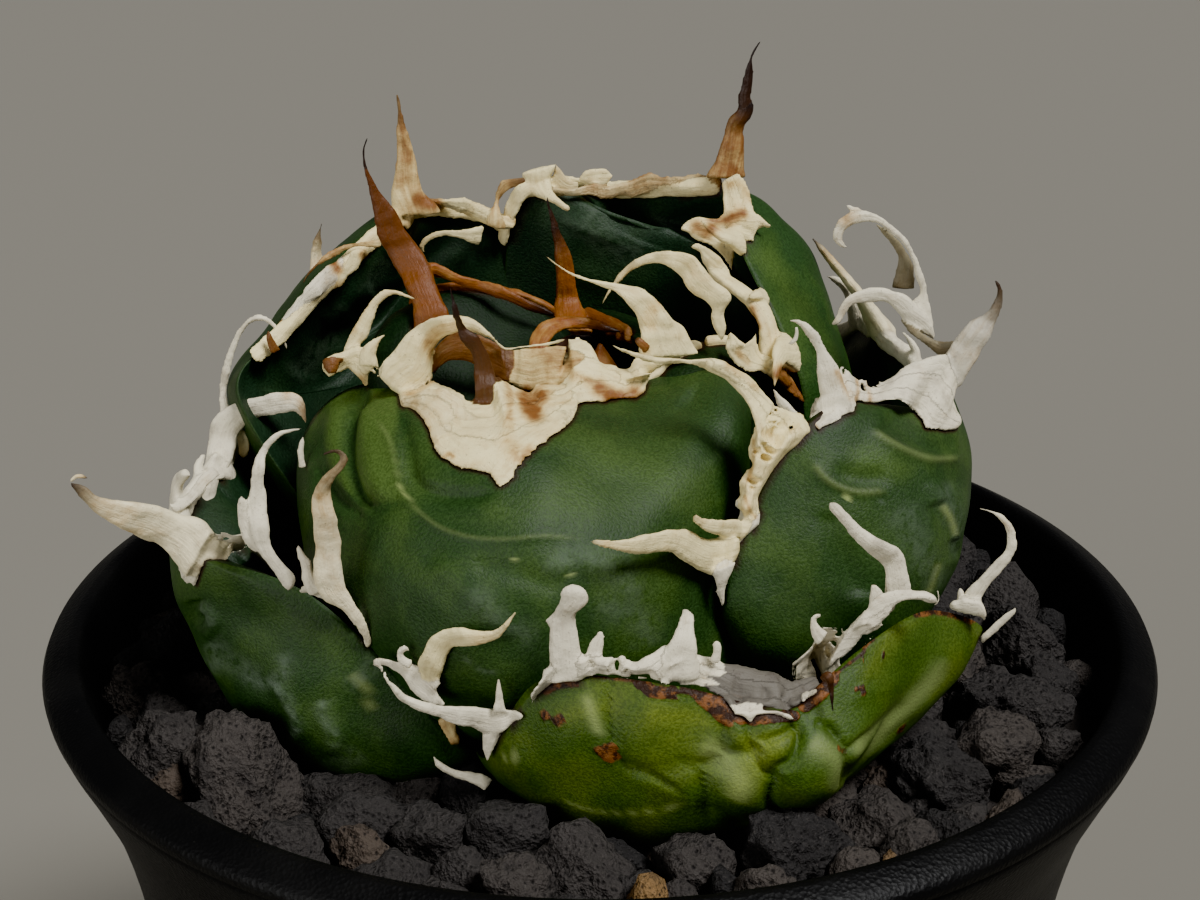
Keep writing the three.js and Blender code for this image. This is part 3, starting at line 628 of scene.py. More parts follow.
faceLeaf = {
    "left": [(-8, -6, 3), (-29, -12, 7), (-35, -10, 21.5), (-35.5, -4, 32.5), (-28, -2, 39)],
    "middle": [(-2, -9, 0), (-5, -27, 4), (-8, -36, 15), (-10, -36, 28), (-12, -26, 39)],
    "right": [(8, -7, 3), (22, -15, 8), (18, -12, 27.5), (17, -5, 40.5), (4.5, -3, 40.6)],
    "tip": (-12.5, -13, 41),
    "round": 0.8, "thick": 12, "start": 0.62, "band": 1.2, "strips": [],
    "tone": "cream",
    "hooks": [
        (-3, "brown", [
            (338, 366, -1, 1.95), (331, 365, -1.5, 2.3), (325, 368, -1, 1.6)]),
        (-4, "amber", [
            (648, 350, -4, 1.3), (641, 343, -4, 1), (634, 339, -4, 0.4)]),
        (-10, "white", [
            (303, 468, 0, 0.98), (301, 452, 0, 0.73), (303, 436, 0, 0.25)]),
    ],
    "blades": [
        (-9, "cream", 2.2, [
            (378, 380), (380, 368), (382, 362), (392, 352), (400, 342), (409, 332), (418, 324),
            (429, 318, -1), (442, 315.5, -2), (453, 315, -2), (464, 316, -2), (473, 319, -2), (481, 325, -2),
            (488, 331, -2), (494, 338, -1), (500, 344), (506, 348), (519, 345.5), (549, 342), (568, 336)], [
            (404, 398), (418, 390), (433, 380), (432, 371), (432, 363), (433, 354), (438, 344),
            (444, 337, -1), (453, 333, -2), (463, 331, -2), (473, 331.5, -2), (481, 334.5, -2),
            (488, 338, -2), (495, 342.5, -1), (500, 347), (506, 351), (519, 349), (549, 345.5), (568, 341)]),
        (-2, "cream", 1.6, [
            (345, 362), (342, 352), (348, 338), (359, 319), (368, 304), (377, 294), (385, 290), (396, 290.5),
            (407, 294.5), (416, 299)], [
            (362, 356), (361, 344), (367, 337), (371, 326), (375.5, 315), (381, 304), (388, 296.5),
            (396, 294.5), (406, 297.5), (416, 300)]),
        (-7, "cream", 1.4, [(358, 366), (360, 350), (367, 342), (377, 337), (385, 334.5)], [
            (377, 366), (376, 354), (379, 345), (382, 339), (386, 335)]),
        (-14, "char", 2.4, [
            (474, 408), (474.5, 400), (473.5, 387), (473.5, 374, 1), (472.5, 362, 1), (468, 350, 1),
            (459.5, 338, 1), (455, 326, 1), (452, 313), (450.5, 298), (449.5, 286)], [
            (494, 408), (495, 400), (496.5, 389), (495.5, 376, 1), (493, 365, 1), (489, 354, 1),
            (483.5, 343, 1), (477, 334.5, 1), (468, 329, 1), (462.5, 319), (459, 308), (454, 297),
            (450.5, 286)]),
        (-3, "cream", 2.4, [
            (702, 356, 1), (694, 345, 1), (688, 336, 1), (681.5, 326.5, 1), (673.5, 318.5), (665.5, 309),
            (659, 301), (651, 294.5), (641.5, 289.5, 1), (632, 285.5, 1), (621, 283, 1), (610, 281.5, 1),
            (600, 280.5, 1), (585, 277, 1), (570, 271.5, 1), (557, 264, 1), (545, 255, 1)], [
            (641, 360, -1), (637, 350, -1), (638, 343, -1), (639, 336, -1), (638.5, 326.5), (637, 318.5),
            (633, 310.5), (627, 302.5), (619, 296), (609.5, 290.5, 1), (600, 286.5, 1), (588, 282, 1),
            (572, 276, 1), (558, 267, 1), (545.5, 256, 1)]),
        (-8, "brown", 1, [
            (434, 376), (439, 368), (448, 362), (459, 361), (470, 363), (484, 372), (495, 380),
            (505, 384)], [
            (430, 360), (433, 352), (440, 341), (450, 333), (463, 330), (480, 333), (494, 341), (503, 347)]),
        (-7, "umber", 0.9, [(490, 372, -1), (500, 379, -1), (515, 386, -1), (529, 393, -1)], [
            (492, 342, 1), (503, 347, 1), (515, 349, 1), (530, 347, 1)]),
        (-7, "ochre", 1, [(518, 388, -1.3), (529, 393, -1.3), (538, 388, -1.3), (556, 385, -1.3)], [
            (520, 348, 0.7), (533, 347, 0.7), (549, 346, 0.7), (568, 346, 0.7)]),
    ],
    "flaps": [
        (-14, "cream", 1.1, [
            (401, 403), (402, 408), (410, 408), (417, 413), (422, 420), (427, 430), (431, 441), (435, 452),
            (441, 460), (451, 466), (462, 471), (473, 472), (482, 473), (490, 476), (494, 482), (497, 488),
            (502, 490), (508, 486), (514, 480), (516, 472), (523, 464), (532, 456), (540, 447), (551, 440),
            (560, 434), (565, 427), (573, 422), (577, 415), (576, 409), (579, 405)], [
            (401, 402, 5), (404, 398, 5), (414, 392, 4), (425, 385, 4), (433, 380, 4), (445, 385.5, 4),
            (453, 388, 3), (464, 394, 1), (466, 400, 0), (480, 400, 0), (495, 400, 0), (495, 386, 1),
            (494, 374, 2), (501, 378, 2), (512, 385, 2), (523, 390, 2), (530, 393, 2), (535, 383.5, 3),
            (545, 384, 4), (555, 384, 4), (565, 384, 4), (578, 388, 4)]),
        # painted shade: this greyer, slightly darkened layer covers the part of the flap beside the fold
        # that lies in shade
        (-15.2, "grey_cream", 1, [
            (401, 403), (402, 408), (410, 408), (417, 413), (422, 420), (427, 430), (431, 441), (435, 452),
            (441, 460), (451, 466), (462, 471), (473, 472), (482, 473), (490, 476), (494, 482)], [
            (405, 399, 2), (425, 388, 1), (445, 387, 0.5), (464, 398, 0), (464, 410, -1), (466, 417, -1.5),
            (470, 425, -2), (480, 440, -2.2), (490, 448, -2.2), (500, 457, -2), (508, 464, -1.4),
            (507, 472, -1), (502, 482, -0.4)]),
        (-9, "cream", 1.1, [
            (535, 450), (551, 440), (560, 434), (573, 422), (577, 415), (579, 405), (588, 404), (603, 403),
            (614, 401), (625, 400), (636, 399), (645, 393), (649, 382), (654, 371)], [
            (535, 384, 2), (545, 384, 3), (556, 381, 3), (560, 366, 4), (567, 349, 5), (568, 337, 5),
            (579, 336, 5), (588, 341, 4), (592, 348, 4), (591, 356, 4), (596, 360, 4), (603, 364, 3),
            (612, 365, 3), (620, 371.5, 2), (624, 379, 1), (627, 381, 0)]),
        (-6, "cream", 1.1, [
            (625, 400), (636, 399), (645, 393), (649, 382), (655, 370), (664, 364, 0)], [
            (627, 382, 0), (626, 371, 0), (630, 363, 0), (636, 356, 0), (646, 358, 0), (664, 362, 0)]),
        (-3, "cream", 1.2, [
            (323, 371, 0), (329, 378), (334, 374), (341, 371), (348, 368), (354, 374), (360, 381),
            (365, 389), (369, 385), (377, 378)], [
            (322, 366, 0), (326, 357, 0), (333, 354, 0), (341, 352, 0), (350, 349, 0), (359, 346, 0),
            (366, 346, 0), (373, 350, -3), (376, 358, -4), (380, 370, -5)]),
        (-9, "cream", 1.1, [
            (377, 378), (383, 381), (392, 385), (400, 391), (404, 398)], [
            (378, 368, 0), (390, 362, 0), (408, 362, 0), (424, 368, 0), (433, 380, 0)]),
    ],
    "stains": [
        (0.26, 2.6, [(425, 415), (442, 438), (462, 455)]),
        (0.8, 0.9, [(526, 393), (528, 400), (534, 412), (528, 403), (540, 396)]),
        (0.55, 0.5, [(507, 384), (510, 400), (509, 418)]),
        (0.4, 0.9, [(508, 420), (508, 440), (515, 455)]),
        (0.5, 0.6, [(519, 460), (525, 455), (530, 450)]),
        (0.6, 0.35, [(443, 458), (448, 454), (453, 456)]),
        (0.55, 0.6, [(560, 367), (575, 376), (590, 382), (602, 390)]),
        (0.75, 0.9, [(600, 388), (612, 395), (626, 398), (634, 394)]),
        (0.35, 0.5, [(540, 402), (556, 404), (572, 402)]),
        (0.45, 0.8, [(431, 353), (434, 340), (443, 329), (456, 325)]),
        (0.4, 0.35, [(404, 396), (420, 389), (434, 379)]),
        (0.35, 0.8, [(650, 326), (648, 318), (656, 306), (658, 300)]),
        (0.5, 0.5, [(640, 342), (646, 349)]),
        (0.45, 0.6, [(364, 376), (361, 384)]),
        (0.35, 0.5, [(352, 330), (360, 316), (370, 300)]),
    ],
    "ridges": [
        (0.18, 0.6, [
            (378, 418), (390, 440), (397, 470), (405, 498), (420, 514), (440, 527), (470, 537),
            (505, 540), (545, 537), (585, 540)]),
        (-0.7, 0.9, [(400, 410), (406, 445), (412, 478), (430, 492), (460, 496), (500, 492)]),
        (-1, 0.8, [(370, 381), (354, 412), (348, 440), (350, 470), (359, 494), (376, 508)]),
        (-0.7, 0.8, [(322, 470), (332, 490), (345, 505), (362, 514)]),
        (0.5, 1.3, [(362, 400), (368, 440), (374, 475), (385, 500)]),
        (0.35, 1.2, [(335, 400), (334, 440), (345, 480)]),
        (0.3, 1.2, [(540, 575), (580, 560), (620, 572), (640, 600)]),
        (-0.5, 1.4, [(470, 560), (520, 575), (570, 590)]),
        (-0.7, 1.6, [(684, 392), (700, 410), (716, 430), (724, 452)]),
        (0.35, 1.5, [(430, 560), (480, 600), (520, 640)]),
    ],
    # pale imprint lines along the long strokes; the three short strokes are painted glints
    "pale": [
        (0.2, 0.25, [(378, 421), (390, 440), (397, 470), (400, 485)]),
        (0.6, 0.2, [(398, 480), (403, 492), (412, 501)]),
        (0.16, 0.25, [(407, 499), (420, 512), (440, 527), (470, 537), (505, 539), (545, 536), (585, 540)]),
        (0.8, 0.16, [(508, 555), (514, 560), (518, 553)]),
        (0.7, 0.16, [(568, 574), (576, 577)]),
    ],
    "wax": [
        (0.3, 1.8, [(540, 570), (580, 560), (620, 575), (640, 610)]),
        (0.28, 1.5, [(470, 585), (500, 620), (540, 640)]),
        (0.25, 2, [(590, 600), (640, 620), (650, 650)]),
        (0.4, 0.25, [(462, 655), (480, 670), (500, 672)]),
    ],
    "patches": [
        (1, 1.2, [
            (370, 384), (398, 386), (402, 410), (398, 440), (402, 475), (412, 500), (376, 506),
            (359, 494), (348, 462), (350, 430)]),
        (0.8, 1.2, [(336, 374), (364, 384), (350, 415), (346, 455), (356, 500), (330, 480), (322, 430)]),
        (0.3, 5, [(410, 500), (480, 500), (600, 420), (700, 420), (690, 520), (560, 545), (440, 530)]),
    ],
    "detail": (110, 260), "fineness": 0.26,
}

rightLeaf = {
    "left": [(4, -8, 3), (16, -20, 8), (13.5, -27, 21.5), (17, -22, 33), (25.5, -16, 41.5)],
    "middle": [(9, -3, 0), (26, -11, 3), (37, -14, 12), (41, -14, 24), (40, -11, 33)],
    "right": [(8, 5, 3), (27, 15, 8), (38, 17, 20), (40, 14, 30), (41, 7, 37)],
    "tip": (39.5, -5, 37),
    "round": 0.8, "thick": 11, "start": 0.46, "band": 1.2, "strips": ["right"],
    "tone": "white",
    "hooks": [
        (-16, "white", [
            (795, 326, 0, 0.5), (797, 333, 0, 0.5), (794, 341, 0, 0.4), (788, 344, 0, 0.4)]),
        (8, "white", [(859, 211, 0, 0.8), (852, 208, 0, 0.6), (846, 205, 0, 0.5)]),
    ],
    "blades": [
        (-15, "white", 2.2, [
            (811, 416), (815, 403), (820, 397), (819, 389), (817, 374), (815.5, 360), (814, 349.5),
            (808.5, 339), (802.5, 330.5), (797, 324.5), (788, 321.5)], [
            (853, 409), (848, 390), (843, 376), (839, 367), (834, 359), (828.5, 350.5), (823, 341),
            (818, 332), (811, 324.5), (802.5, 319.5), (788, 319.5)]),
        (-19, "cream", 1.6, [
            (704, 367), (688, 365, -1), (672, 364, -1), (660, 364, -2), (648, 362, -2), (636, 358, -3),
            (626, 354, -3), (616, 349, -4), (611, 345, -4)], [
            (715, 359), (704, 358.5, -1), (688, 358.5, -1), (669, 357.5, -2), (653, 356, -2),
            (640, 353.5, -3), (629, 350, -3), (618, 346.5, -4), (611, 343, -4)]),
        (-24, "cream", 2.4, [
            (742, 538, -2), (730, 536, -1), (722, 536, -1), (712, 538, -2), (704, 537.5, -3), (694, 533, -4),
            (687, 530, -5), (680, 528.5, -6), (667, 529, -8), (656, 531, -9), (645, 534, -10),
            (633, 537.5, -11), (620, 538.5, -12), (605, 538.5, -13), (589, 539.5, -13.5)], [
            (735, 562, -2.5), (722, 574, -2), (712, 575, -2), (704, 573, -3), (695, 569, -4), (687, 564, -5),
            (680, 559, -6), (673, 554, -7), (665, 552, -8), (652, 552.5, -9), (639, 553, -10),
            (628, 552.5, -11), (619, 551.5, -12), (606, 548.5, -13), (589, 543, -13.5)]),
        (-24, "cream", 1.8, [
            (740, 519), (726, 518.5, -2), (712, 519, -4), (702, 517.5, -5), (697.5, 514.5, -6),
            (693, 515, -6)], [
            (738, 538), (722, 537, -2), (712, 534, -4), (703, 530.5, -5), (697.5, 526, -6), (692, 519, -6)]),
        (-27.2, "white", 1.6, [
            (712, 570), (715, 580), (716, 588), (714.5, 592), (717, 597), (719, 602), (721, 607)], [
            (736, 560), (733, 570), (729, 577), (726.5, 587), (725, 595), (726, 600), (724, 606)]),
        (-16, "white", 1.3, [(783, 416), (777.5, 406), (773.5, 395), (772.5, 389)], [
            (800, 414), (789, 402), (781, 395), (774, 389)]),
        (-3, "smoky", 3.4, [
            (940, 378), (944, 356), (953, 341), (962, 329), (972, 320, 1), (983, 315, 1), (990, 308, 1),
            (995, 297.5, 1), (997, 289, 1), (995, 283.5, 1), (994.5, 279, 1)], [
            (960, 388), (970, 370), (979, 356.5), (984.5, 346), (990, 337.5), (995, 325, 1),
            (1000, 311.5, 1), (1003, 301, 1), (1003, 290.5, 1), (999.5, 283.5, 1), (995.5, 279, 1)]),
        (8, "white", 1.8, [
            (934, 330), (932.5, 320), (929, 301), (927, 287), (924, 277), (919, 263), (913.5, 251),
            (906.5, 239.5), (898, 230), (887.5, 221), (877, 213.5), (867, 210), (858, 210.5), (849, 212.5),
            (841, 218), (835, 226), (832.5, 234), (834, 242), (840, 246.5), (849, 248.5)], [
            (905, 318), (910, 303), (917, 296), (920, 288), (915.5, 279), (914, 266), (908, 252.5),
            (900.5, 240.5), (891, 234), (881, 225), (872, 223), (865, 222.5), (855, 224), (850, 227),
            (846, 230), (843, 236), (843, 241), (845, 245), (849, 247.5)]),
        (9, "dusky", 0.9, [
            (872, 223), (881, 232), (890, 244), (897, 258), (893, 275), (889, 289)], [
            (878, 223), (891, 234), (900.5, 241), (908, 253), (914, 267), (915, 290)]),
        (7, "white", 2, [
            (934, 326), (922, 310), (912, 301), (908, 296), (901, 292), (893, 290), (884, 287), (873.5, 286),
            (863, 289), (854.5, 292.5), (846, 297.5), (840, 304.5), (836.5, 313), (834, 320), (830, 325)], [
            (936, 341), (924, 334), (912, 328), (903, 320), (894.5, 309.5), (886, 302), (875, 302.5),
            (867, 302.5), (856.5, 303), (850, 308), (845, 316.5), (840.5, 322.5), (831, 326)]),
        (5, "dusky", 1.2, [(900, 320, 2), (912, 335, 1), (927, 346), (940, 355), (952, 352, -1)], [
            (903, 316, 2), (920, 330, 1), (930, 337), (940, 341), (956, 340, -1)]),
    ],
    "flaps": [
        (-19, "cream", 2, [
            (696, 366, 0), (704, 367, 0), (712, 372, 0), (722, 378, 0), (731, 385, 0), (741, 396, -1),
            (749, 408, -1.5), (753, 418, -2), (755, 429, -2.5), (757, 442, -3), (755, 456, -3.2),
            (753, 468, -3), (750, 478, -3), (746, 488, -4), (745, 497, -4), (743, 508, -5),
            (741, 516, -5)], [
            (700, 358, 0), (715, 359, 0), (726, 361, 0), (739, 369, 0), (748, 375, 0), (757, 384, 0),
            (766, 395, 1), (776, 406, 1), (790, 409, 2), (803, 414, 2), (812, 431), (796, 447), (780, 461),
            (771, 472), (764, 486), (758.5, 498), (760, 516)]),
        (-23, "white", 1.8, [
            (743, 508, 0), (741, 515, 0), (737, 522, 0), (730, 530, 0), (724, 542, 0), (716, 560, 0),
            (716, 576, 0)], [
            (758.5, 503), (760, 516), (760, 525), (752, 532), (743, 540), (736, 545), (735, 556),
            (732, 571)]),
        (-12, "white", 1.2, [
            (813, 428), (817, 433), (827, 427), (834, 426), (841, 420), (848, 415), (855, 413), (853, 402),
            (863, 403), (871, 403.5), (881, 401.5), (893, 401), (901, 402), (908, 406), (914, 414),
            (920, 421), (924, 429), (930, 431.5), (940, 431.5), (950, 431), (956, 430)], [
            (808, 414, -2), (812, 404, -2), (821, 398, -2), (832, 385, 0), (841, 364, 1), (846, 369, 1),
            (857, 378, 2), (867, 379, 3), (874.5, 381.5, 3), (884, 380, 4), (893, 376.5, 4), (901, 368, 5),
            (912, 361, 6), (922, 358, 6), (936, 355.5, 7), (947, 353, 8), (958, 370, 9), (959, 382, 9),
            (952, 395, 9), (954, 408, 9), (958, 424, 9)]),
    ],
    "stains": [
        (0.45, 0.5, [(728, 366), (745, 378), (757, 388)]),
        (0.35, 0.9, [(790, 424), (797, 428)]),
        (0.5, 0.25, [(745, 497), (750, 510), (756, 517)]),
        (0.45, 0.3, [(754, 440), (753, 460), (748, 480)]),
        (0.5, 0.25, [(857, 380), (858, 390), (856, 400)]),
        (0.4, 0.25, [(868, 382), (870, 400)]),
        (0.5, 0.3, [(811, 422), (816, 430)]),
        (0.4, 0.35, [(838, 372), (846, 386), (853, 400)]),
        (0.4, 0.8, [(846, 219), (855, 214)]),
    ],
    "ridges": [
        (0.4, 0.7, [(870, 428), (888, 440), (905, 450), (930, 458), (965, 458)]),
        (0.35, 0.6, [(812, 460), (825, 478), (842, 487), (863, 492), (890, 488)]),
        (-0.4, 1.1, [(880, 420), (905, 436), (935, 446), (960, 444)]),
        (-0.5, 1.2, [(838, 470), (860, 478), (890, 476)]),
        (-0.8, 1.3, [(828, 510), (838, 540), (850, 570), (862, 600)]),
        (-0.6, 1.2, [(935, 500), (945, 520), (955, 540), (962, 560)]),
        (0.4, 1, [(930, 480), (945, 510), (958, 545)]),
    ],
    # pale imprint lines along the first two strokes; the short stroke after them is a painted glint and the
    # next one painted sheen along the lower folds
    "pale": [
        (0.22, 0.4, [(870, 430), (888, 441), (905, 450), (930, 459), (963, 457)]),
        (0.2, 0.4, [(812, 461), (825, 478), (842, 488), (863, 492), (888, 490)]),
        (0.8, 0.3, [(844, 492), (848, 500)]),
        (0.5, 0.35, [(942, 503), (952, 520), (958, 538)]),
        (0.4, 0.4, [(940, 560), (930, 590), (922, 600)]),
    ],
    "wax": [
        (0.3, 2.2, [(900, 500), (925, 560), (945, 590)]),
        (0.3, 1.4, [(940, 480), (955, 520), (965, 560)]),
        (0.5, 0.2, [(878, 500), (886, 504)]),
    ],
    "patches": [
        (0.65, 3.5, [(838, 440), (880, 430), (925, 462), (910, 490), (870, 492), (838, 478)]),
        (0.25, 6, [(800, 480), (900, 495), (955, 560), (930, 600), (820, 560)]),
    ],
    "detail": (110, 260), "fineness": 0.26,
}

tallLeaf = {
    "left": [(9, 0, 5), (24, 2, 14), (24.5, 3, 33.5), (21.5, 6, 42.5), (17, 13, 50.5)],
    "middle": [(6, 8, 2), (19, 21, 10), (26, 29, 26), (25, 31, 41), (21, 28, 51)],
    "right": [(-4, 9, 5), (-10, 22, 18), (-13, 28, 36), (-10, 26, 53.5), (2.5, 29, 53)],
    "tip": (16, 23, 55.5),
    "round": 0.8, "thick": 9, "start": 0.5, "band": 1.2, "strips": ["right"],
    "plain": ["left"],
    "tone": "cream",
    "hooks": [
        (26, "tan", [
            (506, 222, 0, 1), (509, 208, 0, 1.2), (514, 196, 0, 1.2), (520, 190, 0, 1)]),
    ],
    "blades": [
        (23, "amber", 3, [
            (704, 178), (712, 165), (716, 155), (720, 143), (724, 131), (728, 120), (734, 113),
            (741, 106)], [
            (746, 178), (744, 160), (744, 140), (745, 126), (751, 119), (754, 110), (753, 103)]),
        (23, "black", 2.6, [
            (736, 116), (738, 106), (738, 96), (741, 84), (745, 70), (750, 55), (755, 47), (760.5, 40)], [
            (753, 116), (753, 106), (751, 97), (753, 85), (754, 70), (753, 60), (756, 51), (761, 41)]),
        (26, "cream", 1.8, [
            (521, 172), (523, 180), (528, 188), (535, 195, -1), (543, 200, -2), (551, 203, -3),
            (559, 207, -3), (566, 211, -3), (571, 209, -3)], [
            (558, 162), (554, 170), (551, 178), (551, 186, -1), (554, 193, -2), (559, 199, -3),
            (564, 203, -3), (569, 207, -3), (571, 208, -3)]),
        (27, "grey_cream", 1.2, [(556, 164), (563, 172), (570, 179), (579, 181)], [
            (551, 184), (558, 192), (568, 195), (579, 190)]),
        (27, "cream", 2, [(578, 178), (586, 170), (596, 167), (606, 168), (613, 175)], [
            (580, 180), (588, 185), (597, 187), (606, 184), (613, 177)]),
        (12, "cream", 1.4, [
            (690, 246), (696, 242), (702, 244), (712, 250), (722, 258), (729, 269), (731, 280)], [
            (690, 248), (699, 253), (702, 262), (708, 269), (716, 275), (724, 280), (731, 283)]),
        (8, "cream", 2, [
            (733, 282, 4), (744, 288, 3), (760, 299, 1), (770, 310, -1), (776, 323, -2), (779, 339, -2.5),
            (781, 357, -3), (786, 371, -3.5), (794, 384, -4), (802, 397, -4.7), (806, 406, -5)], [
            (704, 269, 4), (712, 278, 3), (722, 286, 2), (734, 296, 1), (744, 302, -1), (750, 312, -2),
            (755, 320, -3), (758, 330, -3.5), (759, 345, -4), (761, 360, -4.5), (779, 381, -5),
            (799, 400, -5)]),
    ],
    "flaps": [
        (26, "husk", 0.9, [
            (520, 197, 0), (545, 196, 0), (570, 197, -1), (590, 195, -1), (602, 200, 0), (614, 199, 1),
            (622, 195, 1), (632, 199, 1), (642, 195, 1), (655, 191, 1), (680, 187, 0), (705, 182, 0),
            (718, 172, -1)], [
            (520, 188, 0), (545, 186, 0), (572, 188, -1), (592, 184, 0), (608, 186, 1), (622, 182, 1),
            (632, 178, 1), (642, 174, 1), (652, 171, 1), (660, 175, 1), (680, 176, 0), (702, 172, 0),
            (712, 162, -1)]),
        (19, "cream", 1, [
            (722, 183, 2), (721, 200, -1), (723, 210, -2), (720, 217, -3)], [
            (738, 172, 2), (748, 185, -1), (752, 198, -1), (756, 212, -2), (768, 224, -3)]),
        (15, "cream", 1, [
            (680, 231, 0), (686, 231, 0), (691, 234, 0), (693, 238, 0), (699, 242, 0), (707, 245, 0),
            (715, 250, 0), (723, 258, 0), (728, 267, 0), (732, 274, 0), (733, 264, 0), (733, 253, 0),
            (736, 246, 0), (744, 245, 0), (752, 246, 0), (754, 238, 0), (757, 230, 1), (764, 227, 1),
            (773, 229, 1)], [
            (680, 229, 0), (682, 224, 1), (688, 219, 1), (696, 216, 1), (709, 215, 1), (718, 216, 1),
            (724, 212, 1), (727, 208, 1), (740, 208, 1), (752, 210, 1), (760, 214, 1), (766, 221, 1),
            (773, 227, 1)]),
        (0, "cream", 1, [
            (729, 331, 0), (726, 338, 0), (725, 346, -0.5), (728, 354, -0.5), (733, 362, -0.5),
            (739, 368, -0.5), (746, 374, 0), (760, 372, 1), (779, 383, 2), (798, 400, 3)], [
            (731, 331, 0), (737, 337, 0), (745, 345, 0), (752, 338, 1.5), (757, 330, 3), (758, 345, 3),
            (761, 355, 3), (768, 362, 3), (784, 374, 3), (803, 399, 3)]),
    ],
    "stains": [
        (0.75, 0.7, [(696, 228), (706, 232), (712, 228)]),
        (0.65, 0.6, [(712, 220), (726, 220), (742, 214)]),
        (0.4, 0.5, [(728, 184), (744, 186), (748, 200)]),
        (0.85, 0.9, [(782, 374), (792, 386), (803, 404)]),
        (0.6, 0.4, [(751, 309), (758, 328)]),
        (0.45, 0.5, [(738, 352), (748, 362)]),
        (0.4, 0.4, [(612, 196), (640, 188), (680, 182)]),
        (0.6, 0.4, [(630, 180), (652, 172), (664, 176)]),
    ],
    "ridges": [
        (0.5, 1, [(560, 222), (600, 232), (640, 238), (680, 232)]),
        (-0.9, 1.6, [(612, 200), (618, 220), (628, 240)]),
        (-0.8, 1.4, [(640, 200), (645, 225), (640, 245)]),
        (0.4, 1.4, [(560, 265), (600, 280), (640, 275)]),
    ],
    "wax": [
        (0.3, 1.2, [(560, 222), (600, 236), (650, 262)]),
        (0.3, 1.6, [(590, 205), (600, 240), (640, 250)]),
        (0.25, 1.8, [(440, 310), (480, 300), (520, 310)]),
    ],
    "patches": [
        (0.8, 4, [(735, 255), (775, 235), (810, 300), (812, 360), (790, 370), (782, 320)]),
    ],
    "detail": (96, 220), "fineness": 0.26,
}

rearLeftLeaf = {
    "left": [(2, 9, 5), (3, 24, 18), (0, 31, 34), (-11, 28, 48), (-19, 26, 51.5)],
    "middle": [(-7, 6, 2), (-22, 19, 8), (-34, 29, 24), (-34, 31, 40), (-29, 27, 49)],
    "right": [(-9, 0, 5), (-28, -2, 14), (-43, 0, 35.5), (-38, 7, 42.5), (-30.5, 13, 49)],
    "tip": (-24, 20, 53),
    "round": 0.8, "thick": 9, "start": 0.5, "band": 0.7,
    "tone": "cream",
    "hooks": [
        (4, "brown", [
            (276, 352, 0, 1.22), (270, 340, 0, 0.98), (268, 330, 0, 0.37)]),
        (8, "brown", [
            (292, 332, 0, 1.3), (286, 322, 0, 1.4), (292, 310, 1, 1.2)]),
    ],
    "blades": [
        (20, "tan", 3, [
            (392, 216), (391, 204), (392, 190), (395, 170), (396, 150), (396, 130), (397, 112), (396, 93)], [
            (442, 214), (436, 204), (424, 192), (420, 180), (416, 160), (411, 140), (405, 122), (402, 110),
            (398, 93)]),
        (12, "tan", 1.4, [
            (382, 238, 2), (370, 240, 1), (358, 241, 1), (345, 244), (333, 249), (322, 256, -1),
            (313, 265, -1), (306, 274, -1), (302, 284, -1)], [
            (382, 249, 2), (370, 248, 1), (356, 248, 1), (344, 251), (334, 257), (324, 263, -1),
            (314, 271, -1), (307, 279, -1), (303, 285, -1)]),
        (11, "cream", 1.6, [(366, 249), (362, 262), (358, 270), (349, 275), (345, 282), (340, 289)], [
            (352, 250), (346, 262), (338, 274), (335, 281), (338, 287)]),
        (23.5, "cream", 1.6, [
            (484, 224, 1), (474, 227), (462, 229), (450, 229), (438, 230), (428, 235), (420, 242),
            (419, 247), (424, 253)], [
            (480, 246, 1), (470, 243), (462, 240), (452, 238), (444, 237), (435, 239), (427, 244),
            (424, 248), (425, 253)]),
        (24.5, "tan", 1.6, [
            (486, 226), (490, 212), (494, 200, 1), (497, 188, 1), (501, 180, 1), (508, 178, 1),
            (516, 177, 1), (525, 176, 1)], [
            (506, 230), (502, 215), (500, 203, 1), (503, 196, 1), (510, 190, 1), (518, 187, 1),
            (524, 184, 1), (527, 181, 1)]),
    ],
    "flaps": [
        (24, "cream", 1, [
            (402, 230, -4), (408, 222, -3), (412, 211, -2), (425, 208, -1), (440, 208, 0), (455, 211, 0),
            (468, 216, 1), (480, 222, 1), (490, 227, 1), (500, 230, 1), (515, 229, 1)], [
            (398, 222, -4), (402, 210, -3), (414, 202, -2), (430, 200, -1), (450, 198, 0), (465, 198, 0),
            (478, 202, 1), (488, 207, 1), (494, 214, 1), (503, 222, 1), (515, 226, 1)]),
        (8, "white", 0.9, [
            (292, 325, 0), (303, 303, 1), (322, 296, 1), (328, 285, 2), (336, 281, 3), (340, 268, 4)], [
            (285, 318, 0), (297, 298, 1), (306, 285, 1), (318, 272, 2), (328, 264, 3), (338, 261, 4)]),
    ],
    "stains": [
        (0.8, 0.9, [(418, 200), (426, 202), (434, 204)]),
        (0.5, 0.5, [(396, 120), (398, 160), (396, 195)]),
        (0.7, 0.5, [(334, 262), (338, 270)]),
        (0.6, 0.5, [(362, 254), (366, 262)]),
        (0.55, 0.5, [(338, 286), (346, 284)]),
    ],
    "ridges": [
        (0.5, 1.2, [(330, 330), (350, 300), (375, 290)]),
        (-0.5, 1.4, [(300, 380), (320, 340), (350, 320)]),
    ],
    "wax": [
        (0.3, 1.5, [(290, 380), (320, 350), (350, 300)]),
        (0.25, 1, [(360, 300), (380, 270), (390, 260)]),
    ],
    "detail": (96, 220), "fineness": 0.26,
}

